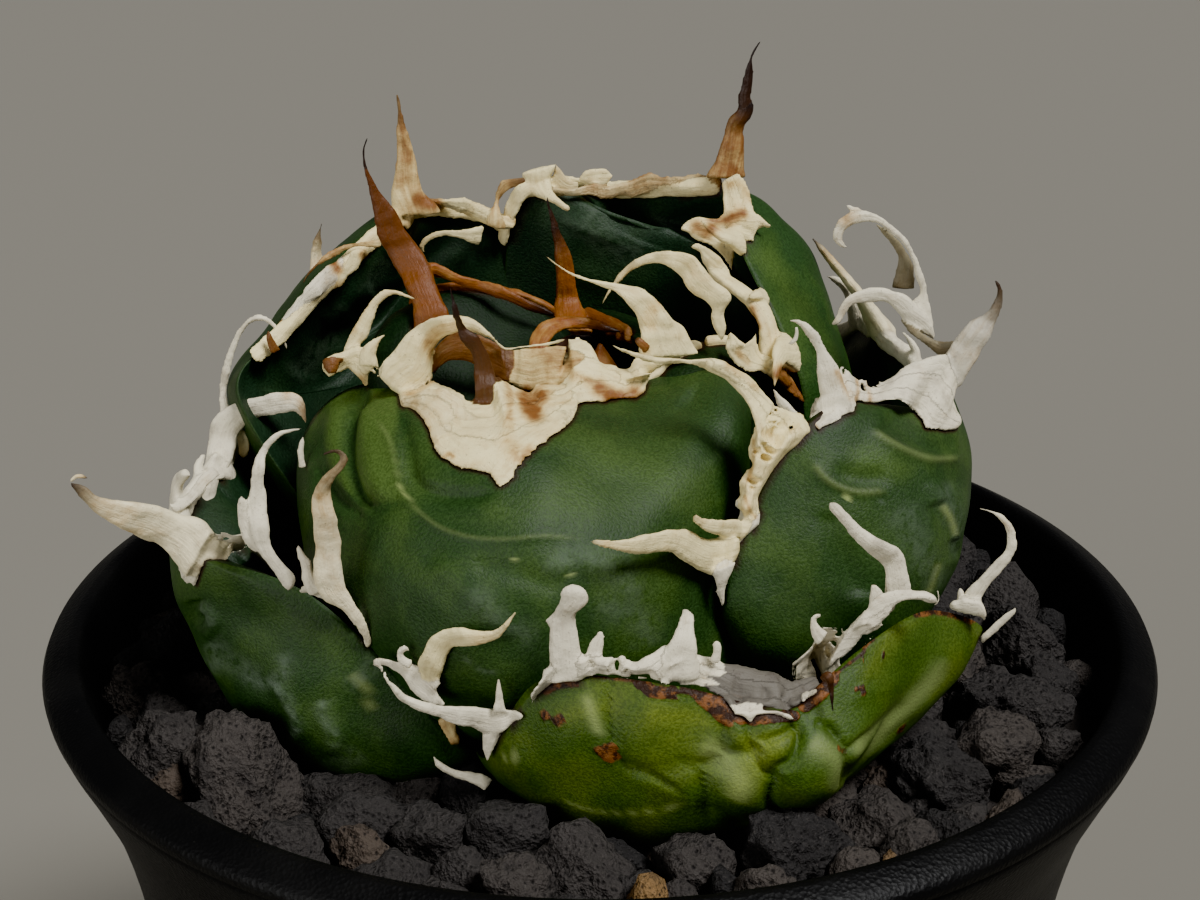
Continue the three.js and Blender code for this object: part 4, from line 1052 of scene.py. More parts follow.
rightLowLeaf = {
    "left": [(9, 0, 2), (28, 4, 5), (39, 8, 13), (41, 12, 26), (40, 18, 33)],
    "middle": [(9, 6, -1), (25, 15, -2), (37, 24, 4), (41, 28, 15), (40, 28, 28)],
    "right": [(3, 10, 2), (14, 29, 5), (26, 40, 14), (30, 40, 25), (34, 34, 33)],
    "tip": (35.5, 24, 35.5),
    "round": 0.75, "thick": 8, "start": 0.5, "band": 1.6,
    "teeth": [], "plain": ["left", "right"],
    "spine": (5, (-2.5, 0, 4.5), (-6.5, 0, 9.5), (-9, 0, 12.5)),
    "detail": (64, 120), "fineness": 0.34,
}

backLowLeaf = {
    "left": [(8, 7, 2), (22, 24, 5), (31, 38, 11), (28, 43, 22), (18, 45, 30)],
    "middle": [(1, 10, -1), (4, 28, -2), (6, 44, 4), (7, 51, 15), (6, 50, 26)],
    "right": [(-7, 8, 2), (-16, 28, 5), (-21, 42, 12), (-17, 46, 23), (-6, 47, 30)],
    "tip": (5, 44, 32),
    "round": 0.75, "thick": 9, "start": 0.5, "band": 1.7,
    "teeth": [], "plain": ["left", "right"],
    "spine": (6, (0, 2, 6), (0.5, 3, 11), (0, 2, 16)),
    "detail": (64, 120), "fineness": 0.34,
}

backLeftLowLeaf = {
    "left": [(0, 11, 2), (-6, 30, 5), (-14, 45, 12), (-17, 46, 23), (-24, 41, 30)],
    "middle": [(-8, 6, -1), (-22, 18, -2), (-37, 31, 4), (-42, 35, 15), (-40, 33, 26)],
    "right": [(-10, 1, 2), (-30, 6, 5), (-45, 14, 12), (-46, 18, 22), (-41, 24, 30)],
    "tip": (-34, 29, 32),
    "round": 0.75, "thick": 9, "start": 0.5, "band": 1.7,
    "teeth": [], "plain": ["left", "right"],
    "spine": (6, (-1.5, 1.5, 6), (-2.5, 2, 11), (-1.5, 1.5, 16)),
    "detail": (64, 120), "fineness": 0.34,
}

leftLowLeaf = {
    "left": [(-9, 5, 1), (-26, 15, 3), (-39, 22, 10), (-43, 21, 19), (-45, 14, 26)],
    "middle": [(-10, 0, -2), (-28, 1, -3), (-42, 4, 3), (-47, 5, 12), (-47, 6, 21)],
    "right": [(-9, -5, 1), (-27, -12, 3), (-43, -14, 9), (-47, -11, 18), (-47, -3, 26.5)],
    "tip": (-46, 6, 26.5),
    "round": 0.75, "thick": 7, "start": 0.5, "band": 1.8,
    "plain": ["left"],
    "tone": "white",
    "hooks": [
        (4, "tipped", [
            (240, 430, 0, 1.46), (244, 445, 0, 1.6), (243, 460, 0, 0.61)]),
    ],
    "blades": [
        (7, "white", 1.2, [
            (220, 420, -3), (218, 400, -1), (218, 392), (221, 370), (227, 350), (235, 332), (243, 322),
            (253, 315), (263, 315), (273, 320), (282, 331), (287, 342), (288, 350)], [
            (234, 420, -3), (229, 400, -1), (228, 392), (231, 370), (237, 350), (243, 335), (249, 325),
            (257, 321), (264, 321), (272, 327), (280, 338), (285, 348), (287, 352)]),
        (3, "white", 2, [
            (200, 484, -3), (204, 470, -2), (206, 455, -1), (208, 440), (212, 420), (224, 408), (240, 400),
            (260, 396), (276, 392, -0.5), (292, 391, -1), (302, 397, -1.5), (306, 410, -1.5),
            (307, 424, -1.5)], [
            (226, 474, -3), (232, 462, -2), (236, 448, -1), (240, 434), (246, 424), (254, 419),
            (268, 416, -0.5), (284, 414, -1), (293, 411, -1.5), (298, 414, -1.5), (302, 419, -1.5),
            (306, 425, -1.5)]),
    ],
    "stains": [
        (0.5, 0.8, [(288, 393), (300, 400), (306, 418)]),
    ],
    "detail": (64, 140), "fineness": 0.28,
}

innerLeftLeaf = {
    "left": [(-7, 3, 12), (-15, 8, 22), (-20, 12, 32), (-22, 11, 40), (-22, 8, 45)],
    "middle": [(-6, -4, 10), (-14, -8, 20), (-22, -8, 32), (-25, -5, 41), (-24, -1, 46)],
    "right": [(2, -6, 12), (2, -8, 24), (2, -5, 36), (-4.5, 4, 44.5), (-13, 4, 48.5)],
    "tip": (-20.5, 3, 48.5),
    "round": 0.8, "thick": 6, "start": 0.62, "band": 1,
    "tone": "amber",
    "blades": [
        (3, "russet", 4, [
            (413, 338, -5), (413, 318, -5), (412, 303, -4), (404, 287, -3), (397, 270, -1), (388, 255),
            (379, 240), (375, 222), (371, 200), (367, 183), (363, 168)], [
            (452, 332, -5), (449, 312, -5), (441, 298, -4), (434, 275, -2), (426, 258, -1), (417, 245),
            (408, 232), (398, 215), (388, 200), (380, 190), (370, 174)]),
        (3, "black", 2, [
            (368, 186), (364, 172), (362, 160), (362, 148), (367, 137)], [
            (379, 188), (372, 176), (367, 165), (365, 152), (368, 138)]),
        (2, "amber", 2, [
            (426, 262), (435, 262), (445, 267), (455, 272), (465, 276), (480, 279), (495, 283, -0.5),
            (510, 290, -1), (522, 296, -1), (535, 302, -1), (547, 308, -1), (556, 313, -1)], [
            (432, 277), (442, 279), (455, 284), (468, 289), (482, 292), (498, 297, -0.5), (512, 303, -1),
            (526, 310, -1), (540, 315, -1), (555, 317, -1)]),
    ],
    "detail": (64, 140), "fineness": 0.24,
}

innerRightLeaf = {
    "left": [(2, -7, 12), (4, -10, 24), (7, -6, 35), (4.5, 0, 43), (2.5, 4, 43)],
    "middle": [(5, 0, 10), (10, 2, 22), (11, 5, 33), (7, 8, 41), (2, 9, 44)],
    "right": [(1, 7, 12), (2, 14, 24), (0, 16, 34), (-4, 14, 41), (-5.5, 12, 41.5)],
    "tip": (-2.5, 9, 43.5),
    "round": 0.8, "thick": 5, "start": 0.72, "band": 1,
    "tone": "brown",
    "blades": [
        (9, "amber", 2.6, [
            (550, 336, -5), (553, 318, -2), (554, 300), (556, 280), (555, 262), (554, 245), (551, 230),
            (549, 217)], [
            (594, 336, -5), (586, 318, -2), (580, 300), (577, 285), (575, 270), (572, 255), (566, 242),
            (560, 230), (555, 219)]),
        (9, "black", 1.4, [(550, 224), (548, 212), (546, 204), (547, 196)], [
            (559, 226), (554, 213), (550, 205), (548, 196)]),
        (0, "amber", 2, [
            (530, 360, -6), (528, 345, -5), (532, 332, -3), (542, 322, -2), (555, 317, -1), (570, 316),
            (585, 318), (600, 322, 1), (612, 327, 1), (622, 331, 1)], [
            (548, 352, -6), (552, 339, -4), (562, 331, -2), (575, 329, -1), (590, 330), (603, 332, 1),
            (614, 333, 1), (622, 332, 1)]),
        (2, "black", 1.2, [(548, 356, -6), (556, 342, -4), (570, 334, -1), (590, 334)], [
            (560, 372, -6), (568, 362, -4), (580, 350, -1), (600, 342)]),
    ],
    "detail": (64, 140), "fineness": 0.24,
}

innerFrontLeaf = {
    "left": [(-4, -7, 10), (-2, -16, 20), (0, -12, 31), (4, -6, 38), (7, -2, 41)],
    "middle": [(5, -6, 9), (12, -12, 18), (15, -11, 29), (15, -6, 37), (13, -2, 41)],
    "right": [(8, 2, 10), (17, -2, 20), (20, 2, 29), (19, 4, 37), (16, 5, 41)],
    "tip": (12, 3, 42),
    "round": 0.8, "thick": 6, "start": 0.66, "band": 1.2,
    "tone": "cream",
    "blades": [
        (-1, "cream", 2.2, [
            (723, 342), (726, 327), (724, 314), (728, 304), (732, 295), (718, 283), (705, 269), (698, 259),
            (690, 253), (680, 250.5, 1), (667, 250, 1), (653, 252, 2), (640, 257, 2), (630, 263, 3),
            (621, 271, 3), (614, 279, 3), (608, 290, 3), (601, 304, 3)], [
            (721, 341), (716, 332), (713, 325), (710.5, 318), (711, 308), (705, 301.5), (697, 297.5),
            (690, 291), (685, 283), (681, 275, 1), (674, 269, 1), (664, 265.5, 1), (653, 264, 2),
            (642, 265.5, 2), (632, 270.5, 3), (622, 280, 3), (611, 292, 3), (602, 306, 3)]),
    ],
    "detail": (64, 140), "fineness": 0.24,
}

leaves = {
    "front": frontLeaf,
    "left": leftLeaf,
    "face": faceLeaf,
    "right": rightLeaf,
    "tall": tallLeaf,
    "rear_left": rearLeftLeaf,
    "right_low": rightLowLeaf,
    "back_low": backLowLeaf,
    "back_left_low": backLeftLowLeaf,
    "left_low": leftLowLeaf,
    "inner_left": innerLeftLeaf,
    "inner_right": innerRightLeaf,
    "inner_front": innerFrontLeaf,
}


# Flesh

def fleshPoints(leaf, share, turn):
    # most of the columns go to the outer side, which carries the marks
    turn = turn + 0.55 * np.cos(turn)
    turn = np.arctan2(np.sin(turn), np.cos(turn))
    s = 0.04 + 0.955 * share**0.9
    outerSide = np.sin(turn)
    v = 0.5 * np.cos(turn) + 0.5 * (1 - 2 * np.abs(turn) / math.pi)
    face = facePoints(leaf, s, v)
    along, across, inward = faceFrames(leaf, s, v)
    thick = leaf["thick"] * (0.75 + 0.5 * np.sin(math.pi * s)) * (1 - s**4) ** 0.6
    belly = thick * np.maximum(1 - np.abs(v) ** 2.4, 0) ** 0.8
    side = np.clip(3 * outerSide, -1, 1)
    depth = 0.45 * (1 - side) + belly * np.clip(-side, 0, 1)
    points = face + inward * depth[:, None]
    closing = np.minimum(1, (share / 0.02) ** 0.5)[:, None]
    root = facePoints(leaf, np.array([0.04]), np.array([0.0]))
    points = root + (points - root) * closing
    return points, s, v, side, inward


def makeFlesh(name, leaf):
    shell, share, turn = roundShell(*leaf["detail"])
    points, s, v, side, inward = fleshPoints(leaf, share, turn)
    out = -inward * np.sign(side + 1e-6)[:, None]
    calm = smoothStep(0, 0.15, 1 - np.abs(v))
    swell = 0.55 * lumps(points, 13, 3.1) + 0.22 * lumps(points, 5, 8.7)
    points = points + out * (swell * calm)[:, None]
    moveTo(shell, toMetres(points))
    piece = makeObject(name + "_flesh", shell)
    shadeSmooth(piece.data)
    way = piece.data.uv_layers.new(name="leafway")
    corners = np.empty(len(piece.data.loops), int)
    piece.data.loops.foreach_get("vertex_index", corners)
    way.data.foreach_set("uv", np.column_stack([v * 0.5 + 0.5, s])[corners].ravel())
    return piece, s, v, side


# Horn

def hookShape(path, width, wide, around=14, along=26):
    # a flattened tooth that tapers along its path, with the samples of its middle line
    u = np.linspace(0, 1, along + 1)
    centre = curveThrough(path, u)
    ahead = unit(curveThrough(path, np.minimum(u + 0.03, 1)) - curveThrough(path, np.maximum(u - 0.03, 0)))
    wides = []
    for direction in ahead:
        wide = wide - direction * np.dot(wide, direction)
        wide = wide / np.linalg.norm(wide)
        wides.append(wide)
    wides = np.array(wides)
    deep = np.cross(ahead, wides)
    flare = 1 + 0.3 * np.exp(-((u / 0.14) ** 2))
    half = 0.5 * width * ((1 - u) ** 0.8 * (1 - 0.35 * u) + 0.04) * flare
    half = np.maximum(half, 0.34)
    flat = np.maximum(0.5 * half, np.minimum(half, 0.5))
    shell, share, turn = roundShell(around, along)
    k = np.rint(share * along).astype(int)
    ring = awayFromPoles(share)[:, None]
    points = centre[k] + ring * (
        wides[k] * (half[k] * np.cos(turn))[:, None] + deep[k] * (flat[k] * np.sin(turn))[:, None])
    moveTo(shell, toMetres(points))
    return shell, centre, u, half


def toothPath(leaf, rail, s, steps):
    side = -1 if rail == "left" else 1
    foot = facePoints(leaf, np.array([s]), np.array([float(side)]))
    along, across, inward = faceFrames(leaf, np.array([s]), np.array([float(side)]))
    root = foot - 0.6 * side * across + 0.4 * inward
    return np.vstack([root, foot + np.array(steps, float)]), along[0]


def ribbonShape(depth, path, around=16, along=44):
    # a flat tooth drawn from the photograph: pixel, step in depth and width at each point
    line = np.array([[*fromPhoto(x, y, depth + step), width] for x, y, step, width in path])
    u = np.linspace(0, 1, along + 1)
    sampled = curveThrough(line, u)
    centre, half = sampled[:, :3], 0.5 * sampled[:, 3]
    ahead = unit(np.gradient(centre, axis=0))
    towards = photoAxes()[1]
    wide = unit(np.cross(ahead[0], towards))
    wides = []
    for direction in ahead:
        turned = np.cross(direction, towards)
        size = np.linalg.norm(turned)
        wide = turned / size if size > 0.35 else wide - direction * np.dot(wide, direction)
        wide = unit(wide)
        wides.append(wide)
    wides = np.array(wides)
    deep = np.cross(ahead, wides)
    half = np.maximum(half, 0.3)
    flat = np.clip(0.34 * half, np.minimum(half, 0.42), 0.95)
    shell, share, turn = roundShell(around, along)
    k = np.rint(share * along).astype(int)
    ring = awayFromPoles(share)[:, None]
    lens = np.sin(turn) * np.abs(np.sin(turn)) ** 0.3 + 0.5 * np.cos(turn) ** 2
    points = centre[k] + ring * (
        wides[k] * (half[k] * np.cos(turn))[:, None] + deep[k] * (flat[k] * lens)[:, None])
    moveTo(shell, toMetres(points))
    return shell, centre, u, half


def evenly(points, share):
    # places along a straight-sided line, by length
    steps = np.linalg.norm(np.diff(points, axis=0), axis=1)
    far = np.concatenate([[0], np.cumsum(steps)])
    far = far / far[-1]
    return np.column_stack([np.interp(share, far, points[:, axis]) for axis in range(points.shape[1])])


def tracedLine(depth, line, tree):
    # two numbers: a pixel on the leaf; three: a pixel and its step in depth
    places = []
    for spot in line:
        place = None
        if len(spot) == 2:
            eye, way = photoRay(*spot)
            hit = tree.ray_cast(Vector(toMetres(eye)), Vector(way))[0]
            place = toMillimetres(hit) if hit is not None else None
        if place is None or abs(place[1] - depth) > 16:
            step = spot[2] if len(spot) == 3 else 0
            place = fromPhoto(spot[0], spot[1], depth + step)
        places.append(place)
    return np.array(places)


def bladeShape(depth, thick, first, second, around=18, along=60):
    # a tooth between its two traced edges, from the foot to the tip
    share = np.linspace(0, 1, along + 1)
    one, two = [
        evenly(curveThrough([fromPhoto(x, y, depth + sum(step)) for x, y, *step in line],
               np.linspace(0, 1, 12 * len(line))), share) for line in (first, second)]
    centre, reach = (one + two) / 2, (one - two) / 2
    size = np.linalg.norm(reach, axis=1)
    ahead = unit(np.gradient(centre, axis=0))
    towards = photoAxes()[1]
    flat = unit(reach)
    for k in range(1, len(flat)):
        if size[k] < 0.12:
            flat[k] = unit(flat[k - 1] - ahead[k] * np.dot(flat[k - 1], ahead[k]))
    half = np.maximum(size, 0.31)
    deep = unit(np.cross(flat, ahead))
    deep = deep * np.where(deep @ towards > 0, -1, 1)[:, None]
    deep = unit(deep - 0.6 * towards)
    height = np.clip(0.5 * half, 0.3, 0.5 * thick)
    shell, ringShare, turn = roundShell(around, along)
    k = np.rint(ringShare * along).astype(int)
    ring = awayFromPoles(ringShare)[:, None]
    keel = np.sin(turn) + 0.35 * np.cos(turn) ** 2
    points = centre[k] + ring * (
        flat[k] * (half[k] * np.cos(turn))[:, None] + deep[k] * (height[k] * keel)[:, None])
    moveTo(shell, toMetres(points))
    return shell, centre, share, half, np.minimum(1, np.maximum(size, 0.1) / half)


def flapShape(depth, thick, first, second, tree, around=28, along=110):
    # a sheet of horn between two traced lines, held just above the leaf
    one, two = tracedLine(depth, first, tree), tracedLine(depth, second, tree)
    shell, share, turn = roundShell(around, along)
    closing = np.minimum(1, (np.minimum(share, 1 - share) / 0.03) ** 0.5)
    w = (0.5 + 0.5 * np.cos(turn) * closing)[:, None]
    points = evenly(one, share) * (1 - w) + evenly(two, share) * w
    towards = photoAxes()[1]
    lens = 0.5 * thick * np.sin(turn) * np.abs(np.sin(turn)) ** 0.2 * closing
    for k, point in enumerate(points):
        near, normal, index, gap = tree.find_nearest(Vector(toMetres(point)), 0.004)
        way = -towards
        if near is not None:
            above = np.dot(point - toMillimetres(near), normal)
            if above < 0.25:
                points[k] += np.array(normal) * (0.25 - above)
            way = unit(way * min(gap * 500, 1) + np.array(normal))
        points[k] += way * lens[k]
    moveTo(shell, toMetres(points))
    u = np.linspace(0.02, 0.98, 40)
    centre = np.vstack([evenly(one, u) * (1 - v) + evenly(two, u) * v for v in (0.15, 0.5, 0.85)])
    return shell, centre, np.tile(u, 3), np.full(120, 0.6)


def plainTeeth(leaf, rail):
    # hooked teeth set evenly, where the photograph doesn't reach
    side = -1 if rail == "left" else 1
    teeth = []
    for k in range(3):
        s = 0.54 + 0.14 * k
        length = 7 + 3 * math.sin(2.4 * k + leaf["thick"] + side)
        lean = 0.55 * math.sin(1.9 * k + 2 * side)
        along, across, inward = (a[0] for a in faceFrames(leaf, np.array([s]), np.array([float(side)])))
        steps = [
            across * side * length * u * (1 - 0.25 * u)
            + along * length * lean * u * u
            - inward * 0.35 * length * u * (1.2 - u)
            for u in (0.4, 0.75, 1)]
        teeth.append((rail, s, 0.45 * length, *steps))
    return teeth


def stripShape(leaf, rail, around=16, along=90):
    side = -1 if rail == "left" else 1
    shell, share, turn = roundShell(around, along)
    start = leaf["start"]
    s = start + (0.985 - start) * share
    edge = np.full(len(s), float(side))
    face = facePoints(leaf, s, edge)
    along3, across, inward = faceFrames(leaf, s, edge)
    out = across * side
    width = leaf["band"] * np.minimum(1, 0.35 + 2.5 * share)
    wave = 0.35 * leaf["band"] * np.sin(9 * math.pi * share + 5 * leaf["thick"])
    corners = np.array([
        [-width, np.full(len(s), -0.5)],
        [0.3 * width, np.full(len(s), -0.6)],
        [0.9 * width + wave, np.full(len(s), 0.5)],
        [-0.4 * width, np.full(len(s), 1.6)]])
    place = (turn / (2 * math.pi) % 1) * 4
    k = np.floor(place).astype(int)
    t = place - k
    row = np.arange(len(s))
    p0, p1, p2, p3 = (corners[(k + j) % 4, :, row] for j in (-1, 0, 1, 2))
    t = t[:, None]
    ring = 0.5 * (2 * p1 + (p2 - p0) * t + (2 * p0 - 5 * p1 + 4 * p2 - p3) * t**2
                  + (3 * p1 - p0 - 3 * p2 + p3) * t**3)
    closing = np.minimum(1, (np.minimum(share, 1 - share) / 0.03) ** 0.5)
    sideways = ring[:, 0] * closing
    deep = 0.5 + (ring[:, 1] - 0.5) * closing
    points = face + out * sideways[:, None] + inward * deep[:, None]
    moveTo(shell, toMetres(points))
    u = np.linspace(0.02, 0.98, 60)
    s1 = start + (0.985 - start) * u
    edge1 = np.full(60, float(side))
    centre = facePoints(leaf, s1, edge1) + faceFrames(leaf, s1, edge1)[2] * 0.5
    return shell, centre, u, np.full(60, leaf["band"])


def joinShells(shells):
    whole = bmesh.new()
    for shell in shells:
        mesh = bpy.data.meshes.new("part")
        shell.to_mesh(mesh)
        shell.free()
        whole.from_mesh(mesh)
        bpy.data.meshes.remove(mesh)
    return whole


def fuse(piece, voxel):
    # one skin over everything in the piece
    modifier = piece.modifiers.new("fuse", "REMESH")
    modifier.mode = "VOXEL"
    modifier.voxel_size = voxel
    modifier.adaptivity = 0
    graph = bpy.context.evaluated_depsgraph_get()
    fused = bpy.data.meshes.new_from_object(piece.evaluated_get(graph))
    piece.modifiers.clear()
    old = piece.data
    piece.data = fused
    bpy.data.meshes.remove(old)


def softenMesh(piece, times, factor=0.5):
    shell = bmesh.new()
    shell.from_mesh(piece.data)
    for turn in range(times):
        bmesh.ops.smooth_vert(
            shell, verts=shell.verts, factor=factor, use_axis_x=True, use_axis_y=True, use_axis_z=True)
    shell.to_mesh(piece.data)
    shell.free()


def nearestSample(points, centres, halves):
    best = np.empty(len(points), int)
    for start in range(0, len(points), 4000):
        part = points[start:start + 4000]
        gap = np.linalg.norm(part[:, None] - centres[None], axis=2) - 0.8 * halves[None]
        best[start:start + 4000] = np.argmin(gap, axis=1)
    return best


def trailGap(seen, line):
    # millimetres, in the picture, from each vertex to a traced line
    path = curveThrough([(x, y) for x, y in line], np.linspace(0, 1, 12 * len(line)))
    gap = np.full(len(seen), 1e9)
    share = np.zeros(len(seen))
    for k, spot in enumerate(path):
        far = np.hypot(seen[:, 0] - spot[0], seen[:, 1] - spot[1]) / photo["scale"]
        share = np.where(far < gap, k / (len(path) - 1), share)
        gap = np.minimum(gap, far)
    fade = smoothStep(0, 0.12, share) * smoothStep(0, 0.12, 1 - share)
    return gap, fade


# horn from foot to tip: rust at foot and tip, dark at foot and tip, where dark starts, grey
hornTones = {
    "white": (0.0, 0.15, 0.0, 0.3, 0.9, 0.8),
    "cream": (0.1, 0.3, 0.0, 0.5, 0.9, 0.1),
    # greyer and a little darkened; on the face leaf's flap this is painted shade
    "grey_cream": (0.35, 0.35, 0.1, 0.1, 0.5, 0.2),
    # painted shade: the front leaf's flange, nearly black grey where it lies in shade
    "flange": (0.1, 0.1, 0.84, 0.9, 0.3, 1.0),
    "husk": (0.55, 0.6, 0.2, 0.3, 0.4, 0.3),
    "ochre": (0.5, 0.62, 0.05, 0.1, 0.5, 0.0),
    "umber": (1.0, 0.8, 0.66, 0.1, 0.0, 0.0),
    "russet": (1.0, 1.0, 0.3, 0.6, 0.1, 0.0),
    "black": (1.0, 1.0, 0.9, 1.0, 0.0, 0.0),
    "dusky": (0.3, 0.3, 0.72, 0.85, 0.3, 0.3),
    "tipped": (0.1, 0.6, 0.0, 0.95, 0.62, 0.5),
    "smoky": (0.15, 0.5, 0.15, 0.93, 0.2, 0.9),
    "amber": (0.8, 1.0, 0.08, 1.0, 0.5, 0.0),
    "tan": (0.5, 0.75, 0.0, 0.6, 0.6, 0.1),
    "brown": (0.9, 1.0, 0.3, 0.5, 0.5, 0.0),
    "char": (1.0, 1.0, 0.7, 1.0, 0.25, 0.0),
}


def makeHorn(name, leaf, tree):
    shells, samples = [], []

    def keep(made, tone, hooked):
        # sample: place, reach, length along, rust, dark, grey, how far it is thinned, direction
        shell, centre, u, half, *fine = made
        fine = fine[0] if fine else 1 - 0.75 * smoothStep(0.75, 1, u) * hooked
        shells.append(shell)
        rustFoot, rustTip, darkFoot, darkTip, darkFrom, grey = hornTones[tone]
        rust = rustFoot + (rustTip - rustFoot) * u
        dark = darkFoot + (darkTip - darkFoot) * smoothStep(darkFrom, 1, u) * hooked
        length = np.concatenate([[0], np.cumsum(np.linalg.norm(np.diff(centre, axis=0), axis=1))])
        ahead = unit(np.gradient(centre, axis=0))
        rows = [half, length, rust, dark, np.full(len(u), grey), fine * np.ones(len(u)), *ahead.T]
        samples.append(np.column_stack([centre, *rows]))

    tone = leaf.get("tone", "white")
    for rail in leaf.get("strips", ["left", "right"]):
        keep(stripShape(leaf, rail), tone, False)
    teeth = list(leaf.get("teeth", []))
    for rail in leaf.get("plain", []):
        teeth += plainTeeth(leaf, rail)
    for rail, s, width, *steps in teeth:
        path, wide = toothPath(leaf, rail, s, steps)
        keep(hookShape(path, width, wide), tone, True)
    for depth, toothTone, path in leaf.get("hooks", []):
        keep(ribbonShape(depth, path), toothTone, True)
    for depth, bladeTone, thick, first, second in leaf.get("blades", []):
        keep(bladeShape(depth, thick, first, second), bladeTone, True)
    for depth, flapTone, thick, first, second in leaf.get("flaps", []):
        keep(flapShape(depth, thick, first, second, tree), flapTone, False)
    if "spine" in leaf:
        width, *steps = leaf["spine"]
        along, across, inward = (a[0] for a in faceFrames(leaf, np.array([0.94]), np.array([0.0])))
        tip = np.array(leaf["tip"], float)
        path = np.vstack([tip - along * 0.3 * width, tip + np.array(steps, float)])
        keep(hookShape(path, width, across, 18, 40), "tipped", True)
    piece = makeObject(name + "_horny", joinShells(shells))
    fuse(piece, leaf["fineness"] * 0.001)
    softenMesh(piece, 2, 0.45)
    points = toMillimetres(vertexPlaces(piece.data))
    samples = np.vstack(samples)
    near = samples[nearestSample(points, samples[:, :3], samples[:, 3])]
    # thin the tips that the fusing had left blunt
    centre, taper, ahead = near[:, :3], near[:, 8], near[:, 9:12]
    towards = photoAxes()[1]
    along = near[:, 4] + ((points - centre) * ahead).sum(axis=1)
    across = ((points - centre) * unit(np.cross(ahead, towards))).sum(axis=1)
    points = centre + (points - centre) * taper[:, None]
    normals = vertexNormals(piece.data)
    rough = 0.05 * lumps(points, 0.9, 5.0) + 0.12 * lumps(points, 2.6, 1.0)
    points = points + normals * (rough * taper)[:, None]
    setVertexPlaces(piece.data, toMetres(points))
    shadeSmooth(piece.data)
    seen = toPhoto(points)
    rust = near[:, 5]
    for strength, width, line in leaf.get("stains", []):
        gap, fade = trailGap(seen, line)
        rust = np.maximum(rust, strength * 1.2 * np.exp(-((gap / width / 1.7) ** 2)))
    paint(piece.data, "wear", near[:, 6], rust, near[:, 7])
    paint(piece.data, "fibre", along, across, near[:, 7])
    return piece


# Finishes

def leafFinish(name, deep, light):
    paintwork = Finish(name)
    pale, lightPatch, scab = paintwork.masks("marks")
    hornGap, wax, inner = paintwork.masks("cover")
    fine = paintwork.grain(0.3, 2, 0.6)
    cloud = paintwork.grain(9, 4, 0.55)
    crust = paintwork.grain(1.4, 4, 0.65)
    colour = paintwork.blend(deep, light, paintwork.between(cloud, 0.42, 0.7) * 0.45)
    colour = paintwork.blend(colour, light, lightPatch)
    # painted shade: the inner face of each leaf, turned towards the heart of the rosette, is darkened
    # towards near-black
    colour = paintwork.blend(colour, (0.008, 0.02, 0.014), inner * 0.7)
    granule = paintwork.between(fine, 0.38, 0.62)
    colour = paintwork.blend(colour, (0.5, 0.56, 0.46), (1 - granule) * 0.75, "MULTIPLY")
    # pale imprint lines, and painted glints and sheen, in a light yellow green
    colour = paintwork.blend(colour, (0.3, 0.36, 0.12), pale)
    colour = paintwork.blend(colour, (0.2, 0.25, 0.19), wax * 0.55 * paintwork.between(crust, 0.3, 0.6))
    brown = paintwork.blend(
        (0.022, 0.008, 0.003), (0.17, 0.062, 0.014), paintwork.between(crust, 0.46, 0.62))
    colour = paintwork.blend(colour, brown, paintwork.between(scab + crust * 0.5 - 0.25, 0.3, 0.6))
    colour = paintwork.blend(colour, (0.018, 0.007, 0.003), hornGap)
    roughness = 0.46 + 0.16 * fine + wax * 0.2
    bump = fine * 0.6 + crust * scab * 2
    shine = 0.12 if name == "leaf_inner" else 0.24
    return paintwork.finish(colour, roughness, bump, 0.16, {"Specular IOR Level": shine})


def hornFinish(name, cream, amber):
    paintwork = Finish(name)
    dark, rust, grey = paintwork.masks("wear")
    along, across, spare = paintwork.masks("fibre")
    thread = paintwork.add("ShaderNodeCombineXYZ", values={0: along * 0.16, 1: across * 1.9, 2: grey * 3})
    fibre = paintwork.add(
        "ShaderNodeTexNoise", values={"Vector": thread, "Scale": 1.0, "Detail": 4, "Roughness": 0.6})
    fine = paintwork.grain(0.35, 3, 0.65)
    cloud = paintwork.grain(1.9, 5, 0.62)
    streak = paintwork.grain(4.5, 5, 0.6, warp=0.5)
    colour = paintwork.blend(cream, (0.74, 0.69, 0.56), grey)
    lines = paintwork.between(fibre, 0.5, 0.72)
    colour = paintwork.blend(colour, (0.3, 0.23, 0.15), lines * 0.2)
    mottle = paintwork.between(cloud, 0.48, 0.7) * (0.1 + grey * 0.3)
    colour = paintwork.blend(colour, (0.2, 0.16, 0.13), mottle)
    stain = rust + 0.9 * (streak - 0.5) + 0.5 * (fibre - 0.5) + 0.4 * (cloud - 0.5)
    colour = paintwork.blend(colour, (0.56, 0.33, 0.09), paintwork.between(stain, 0.12, 0.68) * 0.65)
    colour = paintwork.blend(colour, amber, paintwork.between(stain, 0.42, 0.95))
    speck = paintwork.between(fine, 0.62, 0.7)
    colour = paintwork.blend(colour, (0.12, 0.08, 0.05), speck * 0.45)
    # black towards the spine tips; also painted shade on horn that lies in shade, such as the front leaf's
    # flange
    colour = paintwork.blend(colour, (0.012, 0.006, 0.005), dark)
    roughness = 0.5 + 0.2 * fine - rust * 0.15
    bump = fine * 0.25 + cloud * 0.5 + fibre * 0.7
    return paintwork.finish(colour, roughness, bump, 0.26, {"Specular IOR Level": 0.26})


